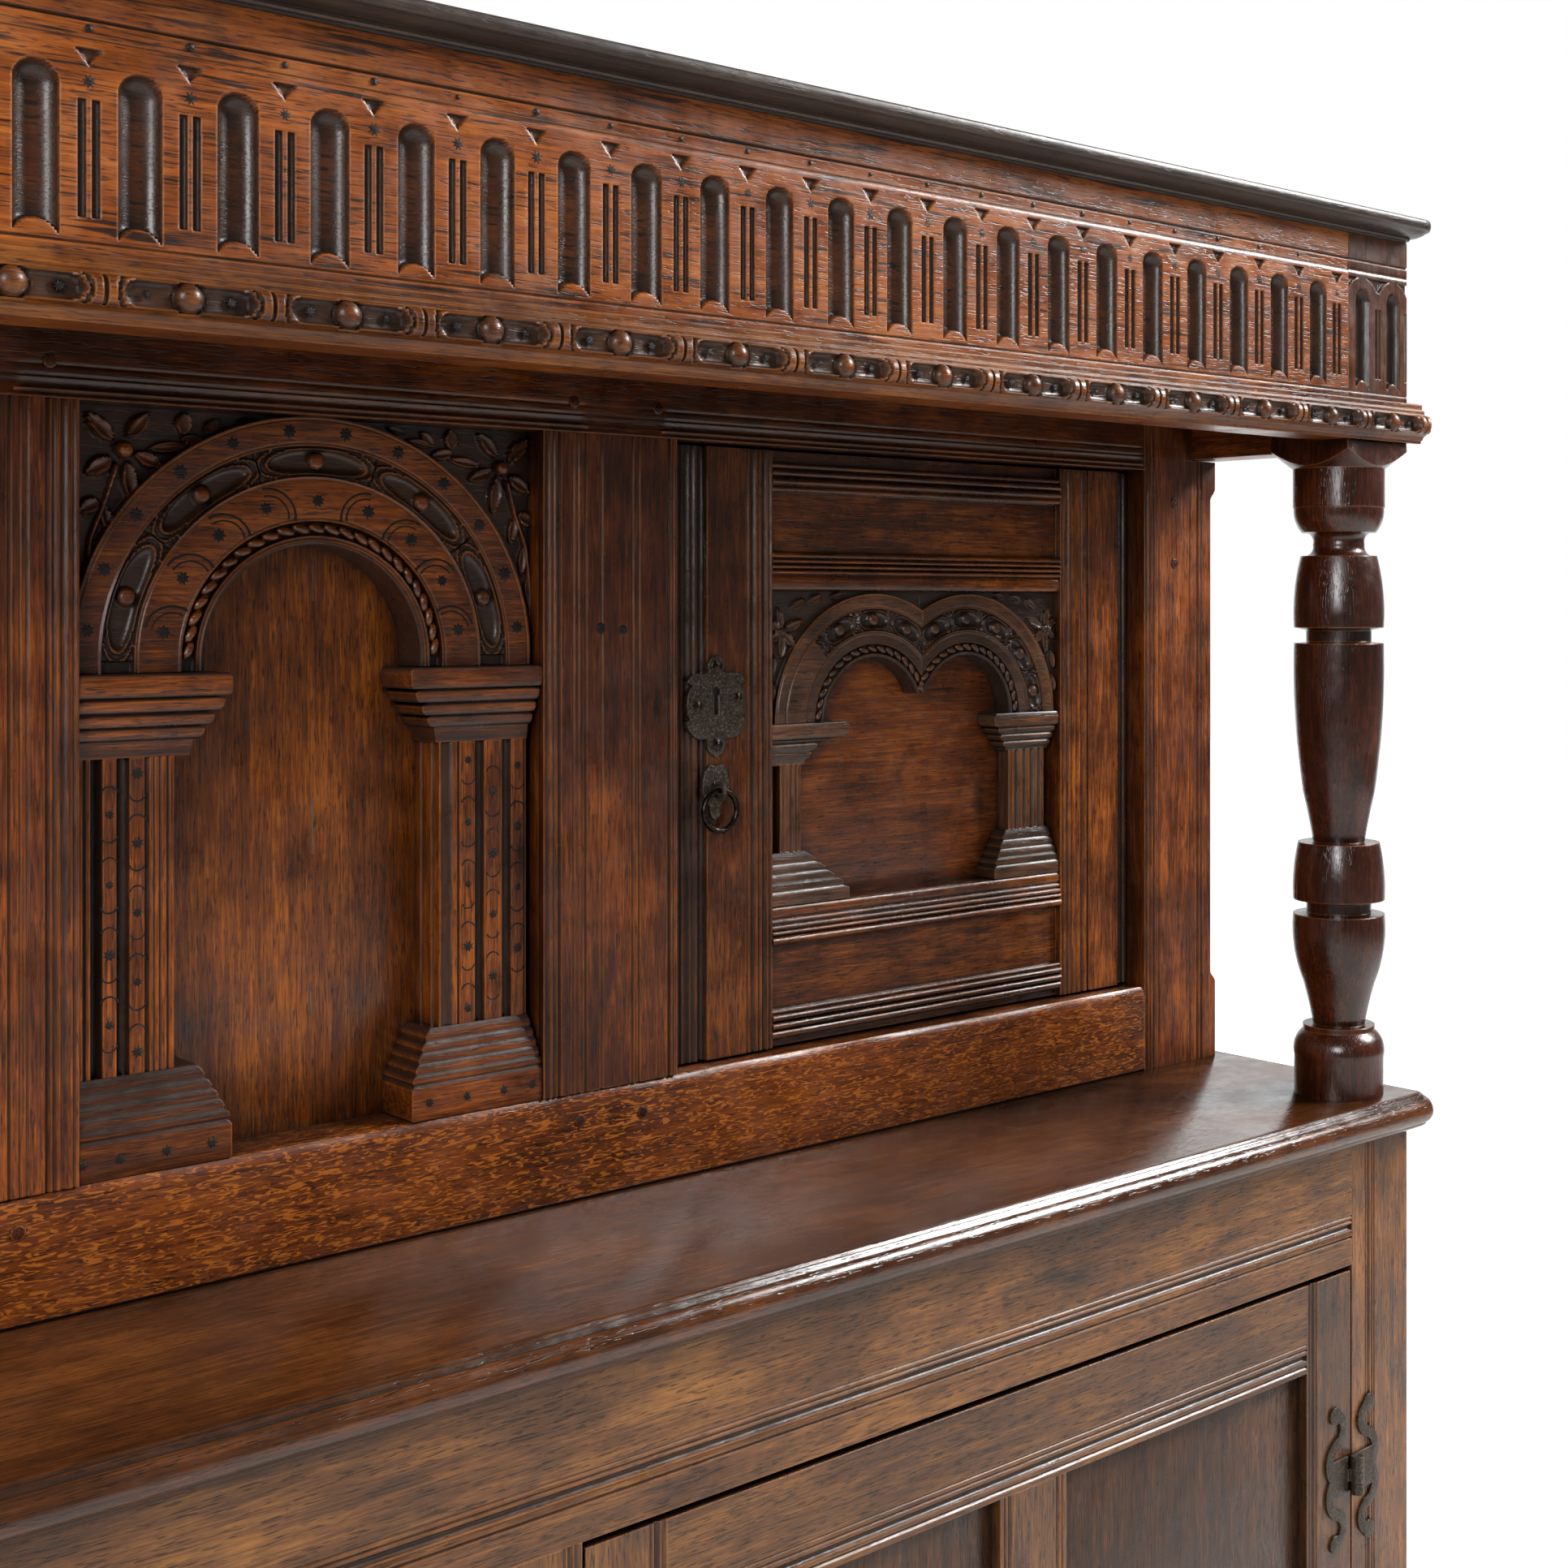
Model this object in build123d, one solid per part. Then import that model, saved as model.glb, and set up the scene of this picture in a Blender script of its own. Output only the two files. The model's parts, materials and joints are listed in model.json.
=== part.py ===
"""Joined oak court cupboard: a lower cupboard with two panelled doors, and above its ledge a
recessed upper cupboard with a fixed arched panel between two doors, under a frieze that two
turned corner columns carry.

Millimetres, +Z up, +X to the right when facing the doors, +Y to the back. The origin is on the
floor, in the middle of the width, and halfway between the ledge's front edge and the back.
"""
from build123d import *
import os

# ------------------------------------------------------------------ driving dimensions
# overall
post_span = 1578.0            # over the outer faces of the corner posts
carcase_depth = 530.0         # front of the stiles to the back of the boards
ledge_height = 930.0          # floor to the top of the ledge board
soffit_height = 500.0         # ledge to the underside of the frieze
frieze_height = 154.0         # underside of the frieze to the cornice
cornice_thickness = 16.0
cornice_overhang = 20.0
cornice_cove = 6.0            # height of the cove under the cornice's nose
cornice_corner_radius = 24.0
ledge_thickness = 28.0
ledge_overhang = 21.0
ledge_nose = 16.0             # thickness of the ledge board's rounded nose
ledge_reed = 3.0              # radius of the reed run along the ledge's front edge

# joinery
rail_thickness = 32.0
tenon_thickness = 10.0
tenon_length = 30.0
tenon_shoulder = 9.0
panel_groove = 7.0            # how far a panel runs into its frame
panel_thickness = 9.0
back_board_thickness = 12.0
board_gap = 1.0               # between neighbouring back boards
scratch_radius = 2.2          # scratched beads and grooves along frame members

# lower cupboard
corner_stile_width = 70.0
corner_stile_depth = 50.0
foot_height = 110.0           # floor to the underside of the bottom rails
lower_rail_height = 90.0
side_middle_rail_height = 80.0
centre_stile_width = 100.0
floor_board_thickness = 16.0
lower_back_board_count = 8
lower_door_thickness = 25.0
lower_door_stile_width = 52.0
lower_door_rail_height = 64.0
lower_door_muntin_width = 59.0
lower_door_side_gap = 2.0
lower_door_end_gap = 4.0

# upper cupboard
recess_depth = 189.0          # front plane to the upper cupboard's face
upper_side_inset = 5.0        # upper cupboard's side, inside the posts' outer faces
upper_frame_thickness = 51.0
end_stile_width = 87.0
end_stile_stop_chamfer = 6.0
end_stile_stop = 62.0         # length of the unchamfered stretch at each end
muntin_width = 100.0
arch_opening_width = 286.0
upper_bottom_rail_height = 68.0
upper_opening_height = 416.0
upper_back_board_count = 7
upper_back_rail_height = 68.0
upper_side_board_thickness = 25.0
back_panel_thickness = 12.0
back_panel_rebate = 8.0

# canopy
post_size = 74.0
frieze_board_thickness = 30.0
frieze_band_height = 21.0     # plain set-back band along the frieze's top
frieze_band_setback = 2.0
canopy_rail_thickness = 35.0
canopy_rail_height = 159.0
canopy_rail_gap = 1.0         # between the end stile's shoulder and the canopy rail
flute_pitch = 45.22
flute_count = 31
flute_width = 20.0
flute_depth = 7.0
flute_bottom = 36.9           # above the underside of the frieze
flute_top = 113.6
post_flute_spacing = 39.0
slot_width = 3.3              # narrow slots, in pairs between the flutes
slot_depth = 2.5
slot_offset = 3.1             # slot's middle from the middle between two flutes
slot_bottom = 47.0            # above the underside of the frieze
slot_top = 99.0
post_slot_width = 2.2
post_slot_offset = 2.0        # slots between a post's two flutes, from its middle
post_edge_slot = 2.0          # slot near the post's outer arris, from that arris
lunette_radius = 25.9         # arcs over the flutes; the ground between them is sunk
lunette_height = 101.3
ground_top = 121.3
ground_depth = 1.8
pearl_band_height = 14.0
pearl_band_proud = 14.0
pearl_fillet_height = 7.0
pearl_top_fillet_height = 10.0
pearl_fillet_proud = 6.0
pearl_pitch = 76.8
pearl_offset = -9.0           # the run is set out from one end, so it is off the centre line
pearl_radius = 6.5
pearl_oval_length = 62.0
pearl_oval_height = 11.0
pearl_oval_depth = 4.0

# turned columns: heights above the ledge
column_radius = 35.2
column_neck_radius = 19.8
column_groove_radius = 25.0
column_foot_height = 28.5
column_torus_top = 49.0
column_foot_ring_radius = 27.6
column_foot_ring_top = 53.0
column_low_vase_top = 138.0
column_collar_bottom = 148.0
column_collar_top = 193.0
column_collar_radius = 31.3
column_high_vase_top = 346.0
column_bell_bottom = 357.0
column_bell_top = 413.0
column_bell_radius = 29.3
column_neck_top = 431.0
column_ovolo_top = 450.0
column_ovolo_radius = 28.4
column_head_bottom = 480.0
column_head_chamfer = 14.0
column_spigot_radius = 14.0
column_spigot_length = 20.0

# carved centre arch: bands from its outer edge inwards
arch_edge_gap = 3.5           # arch to the muntins and the top rail
arch_rim_width = 15.8         # outer flat band
arch_pearl_channel = 19.7
arch_flat_band = 25.0
arch_rope_channel = 13.0
arch_rope_inset = 1.0         # rope's middle, inside the flat band's edge
arch_front_setback = 10.0     # behind the upper cupboard's face
arch_channel_depth = 5.0
arch_rope_thickness = 3.5
arch_spandrel_depth = 9.0
capital_height = 52.0
capital_reach = 12.0          # capital's tip, inside the arch's inner edge
capital_foot_setback = 5.0    # capital's foot, outside the arch's inner edge
capital_steps = 5
capital_front_setback = 1.0
plinth_height = 20.0
base_height = 53.0
pilaster_setback = 11.0       # pilaster's inner side, outside the arch's inner edge
pilaster_flute_width = 5.0
pilaster_side_gap = 6.0

# upper doors
upper_door_thickness = 32.0
upper_door_setback = 14.0
upper_door_hinge_gap = 1.5
upper_door_free_gap = 2.0
upper_door_end_gap = 2.0
lock_stile_width = 87.0
hinge_stile_width = 81.0
upper_door_rail_height = 96.5
upper_door_rail_setback = 5.0
upper_door_panel_setback = 21.0
upper_door_panel_thickness = 8.0
strip_height = 21.0
strip_proud = 7.0
wide_strip_height = 27.0
door_arch_band = 45.5         # carved band, inner to outer radius
door_arch_side_gap = 4.25     # arch to the door's stiles
door_arch_rim_width = 13.0
door_arch_channel = 14.0
door_arch_setback = 3.0
door_arch_top_gap = 2.0       # arch to the upper moulding
door_cusp_drop = 18.0         # broken end of the middle cusp, above the springing line
door_capital_height = 29.0
door_capital_reach = 69.75    # capital's tip, from the door's stile
door_lock_side_foot = 34.0    # capital's foot on the lock side, from the door's stile
door_hinge_side_foot = 51.5   # and on the hinge side
door_base_height = 36.0
door_lock_side_pilaster = (13.0, 31.0)    # pilaster's two sides, from the door's stile
door_hinge_side_pilaster = (10.5, 48.5)
door_pilaster_setback = 8.0

# ironwork
pivot_radius = 4.0
pivot_reach = 10.0            # into the rail
pivot_root = 24.0             # into the door
pivot_clearance = 0.05
hinge_plate_thickness = 2.0
hinge_axis_proud = 6.0
hinge_barrel_radius = 5.0
hinge_pin_radius = 2.5
hinge_pin_clearance = 0.05
hinge_barrel_length = 28.0
hinge_knuckle_gap = 0.2
hinge_leaf_height = 108.0
hinge_leaf_band = 8.0
hinge_leaf_reach = 24.0
hinge_inset = 151.0           # door's end to the hinge's middle
escutcheon_height = 63.0
escutcheon_width = 46.0
escutcheon_thickness = 2.0
keyhole_radius = 2.6
keyhole_slot_width = 2.8
keyhole_slot_length = 11.0
keyhole_height = 311.0        # above the ledge
keyhole_inset = 38.0          # door's free edge to the keyhole
ring_plate_width = 18.0
ring_plate_height = 44.0
ring_mean_radius = 13.5
ring_wire_radius = 2.0
ring_clearance = 1.0          # between the ring's wire and the staple
staple_wire_radius = 1.6
ring_drop = 60.0              # keyhole to the ring's pivot
lower_ring_height = 420.0     # ring's pivot above the lower door's bottom edge
lower_ring_inset = 26.0
lock_width = 74.0
lock_height = 60.0
lock_depth = 14.0
bolt_height = 14.0
bolt_depth = 5.0
bolt_length = 60.0
bolt_throw = 10.0
bolt_cover = 2.0              # lock plate between the bolt and the door
bolt_clearance = 0.4

# ------------------------------------------------------------------ derived planes
front = -(carcase_depth + ledge_overhang) / 2 + ledge_overhang
back = front + carcase_depth
outer = post_span / 2
ledge_under = ledge_height - ledge_thickness
soffit = ledge_height + soffit_height
cornice_under = soffit + frieze_height
face = front + recess_depth               # upper cupboard's face
face_back = face + upper_frame_thickness
upper_outer = outer - upper_side_inset
opening_bottom = ledge_height + upper_bottom_rail_height
opening_top = opening_bottom + upper_opening_height
canopy_rail_under = cornice_under - canopy_rail_height
canopy_rail_inner = outer - canopy_rail_thickness

parts = {}


# ------------------------------------------------------------------ shared shapes
def block(x0, x1, y0, y1, z0, z1):
    """A rectangular solid between two corners."""
    return Pos((x0 + x1) / 2, (y0 + y1) / 2, (z0 + z1) / 2) * Box(x1 - x0, y1 - y0, z1 - z0)


def solids(shapes):
    """Several separate solids kept as one node."""
    return Compound(children=[solid for shape in shapes for solid in shape.solids()])


def mirrored(shape):
    """The same piece on the cupboard's left side."""
    return mirror(shape, about=Plane.YZ)


def along_x(profile, x0, x1):
    """Extrude a closed (y, z) profile from x0 to x1."""
    plane = Plane(origin=(x0, 0, 0), x_dir=(0, 1, 0), z_dir=(1, 0, 0))
    return extrude(plane * profile, x1 - x0)


def facing(outline, y_front, y_back):
    """Extrude a closed (x, z) outline from y_back forward to y_front."""
    plane = Plane(origin=(0, y_back, 0), x_dir=(1, 0, 0), z_dir=(0, -1, 0))
    return extrude(plane * outline, y_back - y_front)


def rod_x(x0, x1, y, z, radius):
    """A round bar along X."""
    return Pos((x0 + x1) / 2, y, z) * Rot(0, 90, 0) * Cylinder(radius, x1 - x0)


def rod_z(x, y, z0, z1, radius):
    """A round bar along Z."""
    return Pos(x, y, (z0 + z1) / 2) * Cylinder(radius, z1 - z0)


def rail_along_x(x0, x1, y0, y1, z0, z1):
    """A rail between the shoulders x0 and x1, with a tenon at each end."""
    middle = (y0 + y1) / 2
    tenons = block(x0 - tenon_length, x1 + tenon_length, middle - tenon_thickness / 2,
                   middle + tenon_thickness / 2, z0 + tenon_shoulder, z1 - tenon_shoulder)
    return block(x0, x1, y0, y1, z0, z1) + tenons


def rail_along_y(x0, x1, y0, y1, z0, z1):
    """A side rail between the shoulders y0 and y1, with a tenon at each end."""
    middle = (x0 + x1) / 2
    tenons = block(middle - tenon_thickness / 2, middle + tenon_thickness / 2,
                   y0 - tenon_length, y1 + tenon_length, z0 + tenon_shoulder, z1 - tenon_shoulder)
    return block(x0, x1, y0, y1, z0, z1) + tenons


def post_along_z(x0, x1, y0, y1, z0, z1):
    """A stile or muntin between the shoulders z0 and z1, with a tenon at each end."""
    middle = (y0 + y1) / 2
    tenons = block(x0 + tenon_shoulder, x1 - tenon_shoulder, middle - tenon_thickness / 2,
                   middle + tenon_thickness / 2, z0 - tenon_length, z1 + tenon_length)
    return block(x0, x1, y0, y1, z0, z1) + tenons


def scratched_x(piece, y, heights):
    """Scratch grooves along a horizontal member's front face."""
    box = piece.bounding_box()
    for z in heights:
        piece -= rod_x(box.min.X, box.max.X, y, z, scratch_radius)
    return piece


def scratched_z(piece, y, places, z0, z1):
    """Scratch grooves up a vertical member's front face."""
    for x in places:
        piece -= rod_z(x, y, z0, z1, scratch_radius)
    return piece


def boards(count, x0, x1, y0, y1, z0, z1):
    """Vertical boards side by side across an opening."""
    width = (x1 - x0 - board_gap * (count - 1)) / count
    starts = [x0 + i * (width + board_gap) for i in range(count)]
    return solids([block(x, x + width, y0, y1, z0, z1) for x in starts])


def stepped(edges, y_front, y_back, side_reach, z0, z1):
    """A stepped moulding that grows course by course: edges are each course's inner ends."""
    count = len(edges)
    course = (z1 - z0) / count
    shape = None
    for i, (edge, y) in enumerate(zip(edges, y_front)):
        step = block(min(edge, side_reach), max(edge, side_reach), y, y_back,
                     z0 + i * course, z0 + (i + 1) * course)
        shape = step if shape is None else shape + step
    return shape


# ------------------------------------------------------------------ lower cupboard
def build_lower_carcase():
    """Stiles, rails, side panels, floor and back boards of the lower cupboard."""
    stile_inner = outer - corner_stile_width
    bottom_z = foot_height
    bottom_top = foot_height + lower_rail_height
    top_z = ledge_under - lower_rail_height
    middle_z = (bottom_top + top_z - side_middle_rail_height) / 2
    rail_back = front + rail_thickness
    side_inner = outer - rail_thickness
    stile_back = front + corner_stile_depth
    back_stile_front = back - corner_stile_depth

    top_rail = rail_along_x(-stile_inner, stile_inner, front, rail_back, top_z, ledge_under)
    top_rail = scratched_x(top_rail, front, [top_z + 0.2 * lower_rail_height,
                                             top_z + 0.32 * lower_rail_height])
    bottom_rail = rail_along_x(-stile_inner, stile_inner, front, rail_back, bottom_z, bottom_top)
    half = centre_stile_width / 2
    centre_stile = post_along_z(-half, half, front, rail_back, bottom_top, top_z)
    top_rail -= centre_stile
    bottom_rail -= centre_stile

    side_rails = [rail_along_y(side_inner, outer, stile_back, back_stile_front, z0, z1)
                  for z0, z1 in ((bottom_z, bottom_top),
                                 (middle_z, middle_z + side_middle_rail_height),
                                 (top_z, ledge_under))]
    panel_x = (side_inner + outer - panel_thickness) / 2
    side_panels = [block(panel_x, panel_x + panel_thickness, stile_back - panel_groove,
                         back_stile_front + panel_groove, z0 - panel_groove, z1 + panel_groove)
                   for z0, z1 in ((bottom_top, middle_z),
                                  (middle_z + side_middle_rail_height, top_z))]
    side_rails = [rail - side_panels[0] - side_panels[1] for rail in side_rails]

    back_rail_back = back - back_board_thickness
    back_rails = [rail_along_x(-stile_inner, stile_inner, back_rail_back - rail_thickness,
                               back_rail_back, z0, z1)
                  for z0, z1 in ((bottom_z, bottom_top), (top_z, ledge_under))]

    front_stile = block(stile_inner, outer, front, stile_back, 0, ledge_under)
    back_stile = block(stile_inner, outer, back_stile_front, back, 0, ledge_under)
    front_stile = scratched_z(front_stile, front, [stile_inner + 0.22 * corner_stile_width,
                                                   stile_inner + 0.34 * corner_stile_width],
                              foot_height, ledge_under)
    for piece in side_rails + side_panels:
        front_stile -= piece
        back_stile -= piece
    front_stile = front_stile - top_rail - bottom_rail
    for rail in back_rails:
        back_stile -= rail

    parts["lower_front_stile_right"] = front_stile
    parts["lower_front_stile_left"] = mirrored(front_stile)
    parts["lower_back_frame"] = solids([back_stile, mirrored(back_stile)] + back_rails)
    parts["lower_centre_stile"] = centre_stile
    parts["lower_top_rail"] = top_rail
    parts["lower_bottom_rail"] = bottom_rail
    parts["lower_side_rails"] = solids(side_rails + [mirrored(rail) for rail in side_rails])
    parts["lower_side_panels"] = solids(side_panels + [mirrored(p) for p in side_panels])
    parts["lower_back_boards"] = boards(lower_back_board_count, -stile_inner, stile_inner,
                                        back_rail_back, back, foot_height, ledge_under)
    parts["lower_floor_boards"] = block(-side_inner, side_inner, rail_back,
                                        back_rail_back - rail_thickness,
                                        bottom_top - floor_board_thickness, bottom_top)
    floor_notch = block(stile_inner, outer, front, stile_back, 0, ledge_under)
    back_notch = block(stile_inner, outer, back_stile_front, back, 0, ledge_under)
    for notch in (floor_notch, back_notch, mirrored(floor_notch), mirrored(back_notch)):
        parts["lower_floor_boards"] -= notch


def ledge_profile():
    """Section of the ledge board: a reed, a slope and a thick rounded nose."""
    nose_y = front - ledge_overhang
    nose_low = ledge_height - ledge_reed - ledge_nose
    reed_y = front - ledge_overhang / 2
    outline = [
        Line((back, ledge_under), (back, ledge_height)),
        Line((back, ledge_height), (reed_y, ledge_height)),
        ThreePointArc((reed_y, ledge_height),
                      (reed_y - 0.7 * ledge_reed, ledge_height - 0.3 * ledge_reed),
                      (reed_y - ledge_reed, ledge_height - ledge_reed)),
        ThreePointArc((reed_y - ledge_reed, ledge_height - ledge_reed),
                      (nose_y, ledge_height - ledge_reed - ledge_nose / 2),
                      (nose_y + ledge_nose / 3, nose_low)),
        Line((nose_y + ledge_nose / 3, nose_low), (front - ledge_overhang / 4, ledge_under)),
        Line((front - ledge_overhang / 4, ledge_under), (back, ledge_under)),
    ]
    return make_face(outline)


def build_ledge_board():
    """The board between the two stages, moulded along its front and both ends."""
    run = outer + ledge_overhang
    board = along_x(ledge_profile(), -run, run)
    # the ends carry the same section: a bar of it along Y, turned to each side
    end = extrude(Plane.XZ.offset(-back) * end_profile(), carcase_depth + ledge_overhang)
    board = board & (end + block(-run / 2, run / 2, front - ledge_overhang, back,
                                 ledge_under, ledge_height))
    spigot = rod_z(*column_axis(), ledge_height - column_spigot_length, ledge_height,
                   column_spigot_radius)
    parts["ledge_board"] = board - spigot - mirrored(spigot)


def end_profile():
    """Section across the ledge board's width, with the nose at each end."""
    run = outer + ledge_overhang
    nose_low = ledge_height - ledge_reed - ledge_nose
    reed_x = run - ledge_overhang / 2
    half = [
        ((reed_x, ledge_height),
         (reed_x + 0.7 * ledge_reed, ledge_height - 0.3 * ledge_reed),
         (reed_x + ledge_reed, ledge_height - ledge_reed)),
        ((reed_x + ledge_reed, ledge_height - ledge_reed),
         (run, ledge_height - ledge_reed - ledge_nose / 2), (run - ledge_nose / 3, nose_low)),
    ]
    foot_x = outer + ledge_overhang / 4
    outline = []
    for side in (1, -1):
        for arc in half:
            outline.append(ThreePointArc(*[(side * x, z) for x, z in arc]))
        outline.append(Line((side * (run - ledge_nose / 3), nose_low),
                            (side * foot_x, ledge_under)))
    outline.append(Line((-reed_x, ledge_height), (reed_x, ledge_height)))
    outline.append(Line((-foot_x, ledge_under), (foot_x, ledge_under)))
    return make_face(outline)


# ------------------------------------------------------------------ upper cupboard
def column_axis():
    """Where the right column stands."""
    return outer - post_size / 2, front + post_size / 2


def end_stile(y0, y1):
    """A corner stile of the upper cupboard, shouldered to carry the canopy's side rail."""
    inner = upper_outer - end_stile_width
    shoulder = canopy_rail_under - canopy_rail_gap
    stile = block(inner, upper_outer, y0, y1, ledge_height, cornice_under)
    return stile - block(canopy_rail_inner, upper_outer, y0, y1, shoulder, cornice_under)


def build_upper_carcase():
    """Face frame, sides, back and the carved arch of the upper cupboard."""
    inner = upper_outer - end_stile_width
    muntin_in = arch_opening_width / 2
    muntin_out = muntin_in + muntin_width
    back_stile_front = back - corner_stile_depth

    top_rail = rail_along_x(-inner, inner, face, face_back, opening_top, cornice_under)
    bottom_rail = rail_along_x(-inner, inner, face, face_back, ledge_height, opening_bottom)
    muntin = post_along_z(muntin_in, muntin_out, face, face_back, opening_bottom, opening_top)
    back_panel = block(-muntin_in - back_panel_rebate, muntin_in + back_panel_rebate,
                       face_back - back_panel_thickness, face_back,
                       opening_bottom - back_panel_rebate, opening_top + back_panel_rebate)
    top_rail = top_rail - muntin - mirrored(muntin) - back_panel
    bottom_rail = bottom_rail - muntin - mirrored(muntin) - back_panel
    muntin -= back_panel
    edge = 0.12 * muntin_width
    muntin = scratched_z(muntin, face, [muntin_in + edge, muntin_in + 2 * edge,
                                        muntin_out - 2 * edge, muntin_out - edge],
                         opening_bottom, opening_top)
    top_rail = scratched_x(top_rail, face, [opening_top + 0.1 * upper_bottom_rail_height,
                                            opening_top + 0.25 * upper_bottom_rail_height])

    # door pivots turn in the rails, and the bolt shoots into the muntin
    pivot_x, pivot_y = upper_pivot()
    hole_radius = pivot_radius + pivot_clearance
    hole_low = rod_z(pivot_x, pivot_y, opening_bottom - pivot_reach, opening_bottom, hole_radius)
    hole_high = rod_z(pivot_x, pivot_y, opening_top, opening_top + pivot_reach, hole_radius)
    bottom_rail = bottom_rail - hole_low - mirrored(hole_low)
    top_rail = top_rail - hole_high - mirrored(hole_high)
    mortise = bolt_box(upper_door_free_gap + bolt_throw, bolt_clearance + 1.0)
    muntin -= mortise

    side_board = block(canopy_rail_inner, canopy_rail_inner + upper_side_board_thickness,
                       face_back, back_stile_front, ledge_height,
                       canopy_rail_under - canopy_rail_gap)

    front_stile = end_stile(face, face_back)
    chamfer_run = block(upper_outer - end_stile_stop_chamfer, upper_outer, face,
                        face + end_stile_stop_chamfer, ledge_height + end_stile_stop,
                        canopy_rail_under - canopy_rail_gap - end_stile_stop)
    wedge = facing_wedge(chamfer_run.bounding_box())
    front_stile = front_stile - wedge - top_rail - bottom_rail
    front_stile = scratched_z(front_stile, face, [inner + 0.62 * end_stile_width], ledge_height,
                              canopy_rail_under - canopy_rail_gap)
    back_stile = end_stile(back_stile_front, back)

    back_rail_back = back - back_board_thickness
    back_rails = [rail_along_x(-inner, inner, back_rail_back - rail_thickness, back_rail_back,
                               z0, z0 + upper_back_rail_height)
                  for z0 in (ledge_height, cornice_under - upper_back_rail_height)]
    for rail in back_rails:
        back_stile -= rail

    parts["upper_end_stile_right"] = front_stile
    parts["upper_end_stile_left"] = mirrored(front_stile)
    parts["upper_muntin_right"] = muntin
    parts["upper_muntin_left"] = mirrored(muntin)
    parts["upper_top_rail"] = top_rail
    parts["upper_bottom_rail"] = bottom_rail
    parts["upper_side_boards"] = solids([side_board, mirrored(side_board)])
    parts["upper_back_frame"] = solids([back_stile, mirrored(back_stile)] + back_rails)
    parts["upper_back_boards"] = boards(upper_back_board_count, -inner, inner, back_rail_back,
                                        back, ledge_height, cornice_under)
    parts["arch_back_panel"] = back_panel


def facing_wedge(box):
    """A 45 degree wedge that takes the front outer arris off an end stile."""
    outline = make_face(Polyline((box.min.X, box.min.Y), (box.max.X, box.min.Y),
                                 (box.max.X, box.max.Y), close=True))
    return extrude(Plane.XY.offset(box.min.Z) * outline, box.max.Z - box.min.Z)


def ring_sector(x, z, radius_out, radius_in, y_front, y_back):
    """An upright half ring above the height z."""
    disc = facing(Pos(x, z) * Circle(radius_out), y_front, y_back)
    if radius_in:
        disc -= facing(Pos(x, z) * Circle(radius_in), y_front, y_back)
    reach = radius_out
    return disc & block(x - reach, x + reach, y_front, y_back, z, z + reach)


def build_centre_arch():
    """The round arch between the muntins, on stepped capitals, pilasters and bases."""
    half = arch_opening_width / 2
    radius_out = half - arch_edge_gap
    spring = opening_top - radius_out
    channel_out = radius_out - arch_rim_width
    channel_in = channel_out - arch_pearl_channel
    rope_out = channel_in - arch_flat_band
    radius_in = rope_out - arch_rope_channel
    rope_radius = rope_out - arch_rope_inset
    back_y = face_back - back_panel_thickness
    front_y = face + arch_front_setback

    # arch: flat rim, sunk pearl channel, flat band, sunk rope channel
    arch = block(-half, half, front_y + arch_spandrel_depth, back_y, spring, opening_top)
    arch += ring_sector(0, spring, radius_out, radius_in, front_y, back_y)
    arch -= ring_sector(0, spring, channel_out, channel_in, front_y,
                        front_y + arch_channel_depth)
    arch -= ring_sector(0, spring, rope_out, radius_in, front_y, front_y + arch_channel_depth)
    arch -= ring_sector(0, spring, radius_in, 0, front_y - 1, back_y + 1)
    rope_path = CenterArc((0, 0), rope_radius, 0, 180)
    rope_plane = Plane(origin=(0, front_y + arch_channel_depth, spring), x_dir=(1, 0, 0),
                       z_dir=(0, -1, 0))
    rope = sweep(Plane(origin=(rope_radius, front_y + arch_channel_depth, spring),
                       x_dir=(1, 0, 0), z_dir=(0, 0, 1)) * Circle(arch_rope_thickness),
                 rope_plane * rope_path)
    arch += rope
    parts["arch_carving"] = arch

    capital_top = spring
    capital_bottom = capital_top - capital_height
    tips = [radius_in + capital_foot_setback
            - (capital_foot_setback + capital_reach) * i / (capital_steps - 1)
            for i in range(capital_steps)]
    fronts = [front_y + (face + capital_front_setback - front_y) * i / (capital_steps - 1)
              for i in range(capital_steps)]
    capital = stepped(tips, fronts, back_y, half, capital_bottom, capital_top)
    base_bottom = opening_bottom
    base_top = base_bottom + base_height
    plinth = block(tips[-1] + 2, half, face + capital_front_setback, back_y, base_bottom,
                   base_bottom + plinth_height)
    base = plinth + stepped(tips[::-1][1:], fronts[::-1][1:], back_y, half,
                            base_bottom + plinth_height, base_top)
    pilaster_inner = radius_in + pilaster_setback
    pilaster = block(pilaster_inner, half - pilaster_side_gap, front_y, back_y, base_top,
                     capital_bottom)
    pilaster_width = half - pilaster_side_gap - pilaster_inner
    for share in (0.45, 0.72):
        x = pilaster_inner + share * pilaster_width
        pilaster -= block(x, x + pilaster_flute_width, front_y,
                          front_y + arch_channel_depth, base_top, capital_bottom)
    parts["arch_capitals"] = solids([capital, mirrored(capital)])
    parts["arch_bases"] = solids([base, mirrored(base)])
    parts["arch_pilasters"] = solids([pilaster, mirrored(pilaster)])


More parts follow.
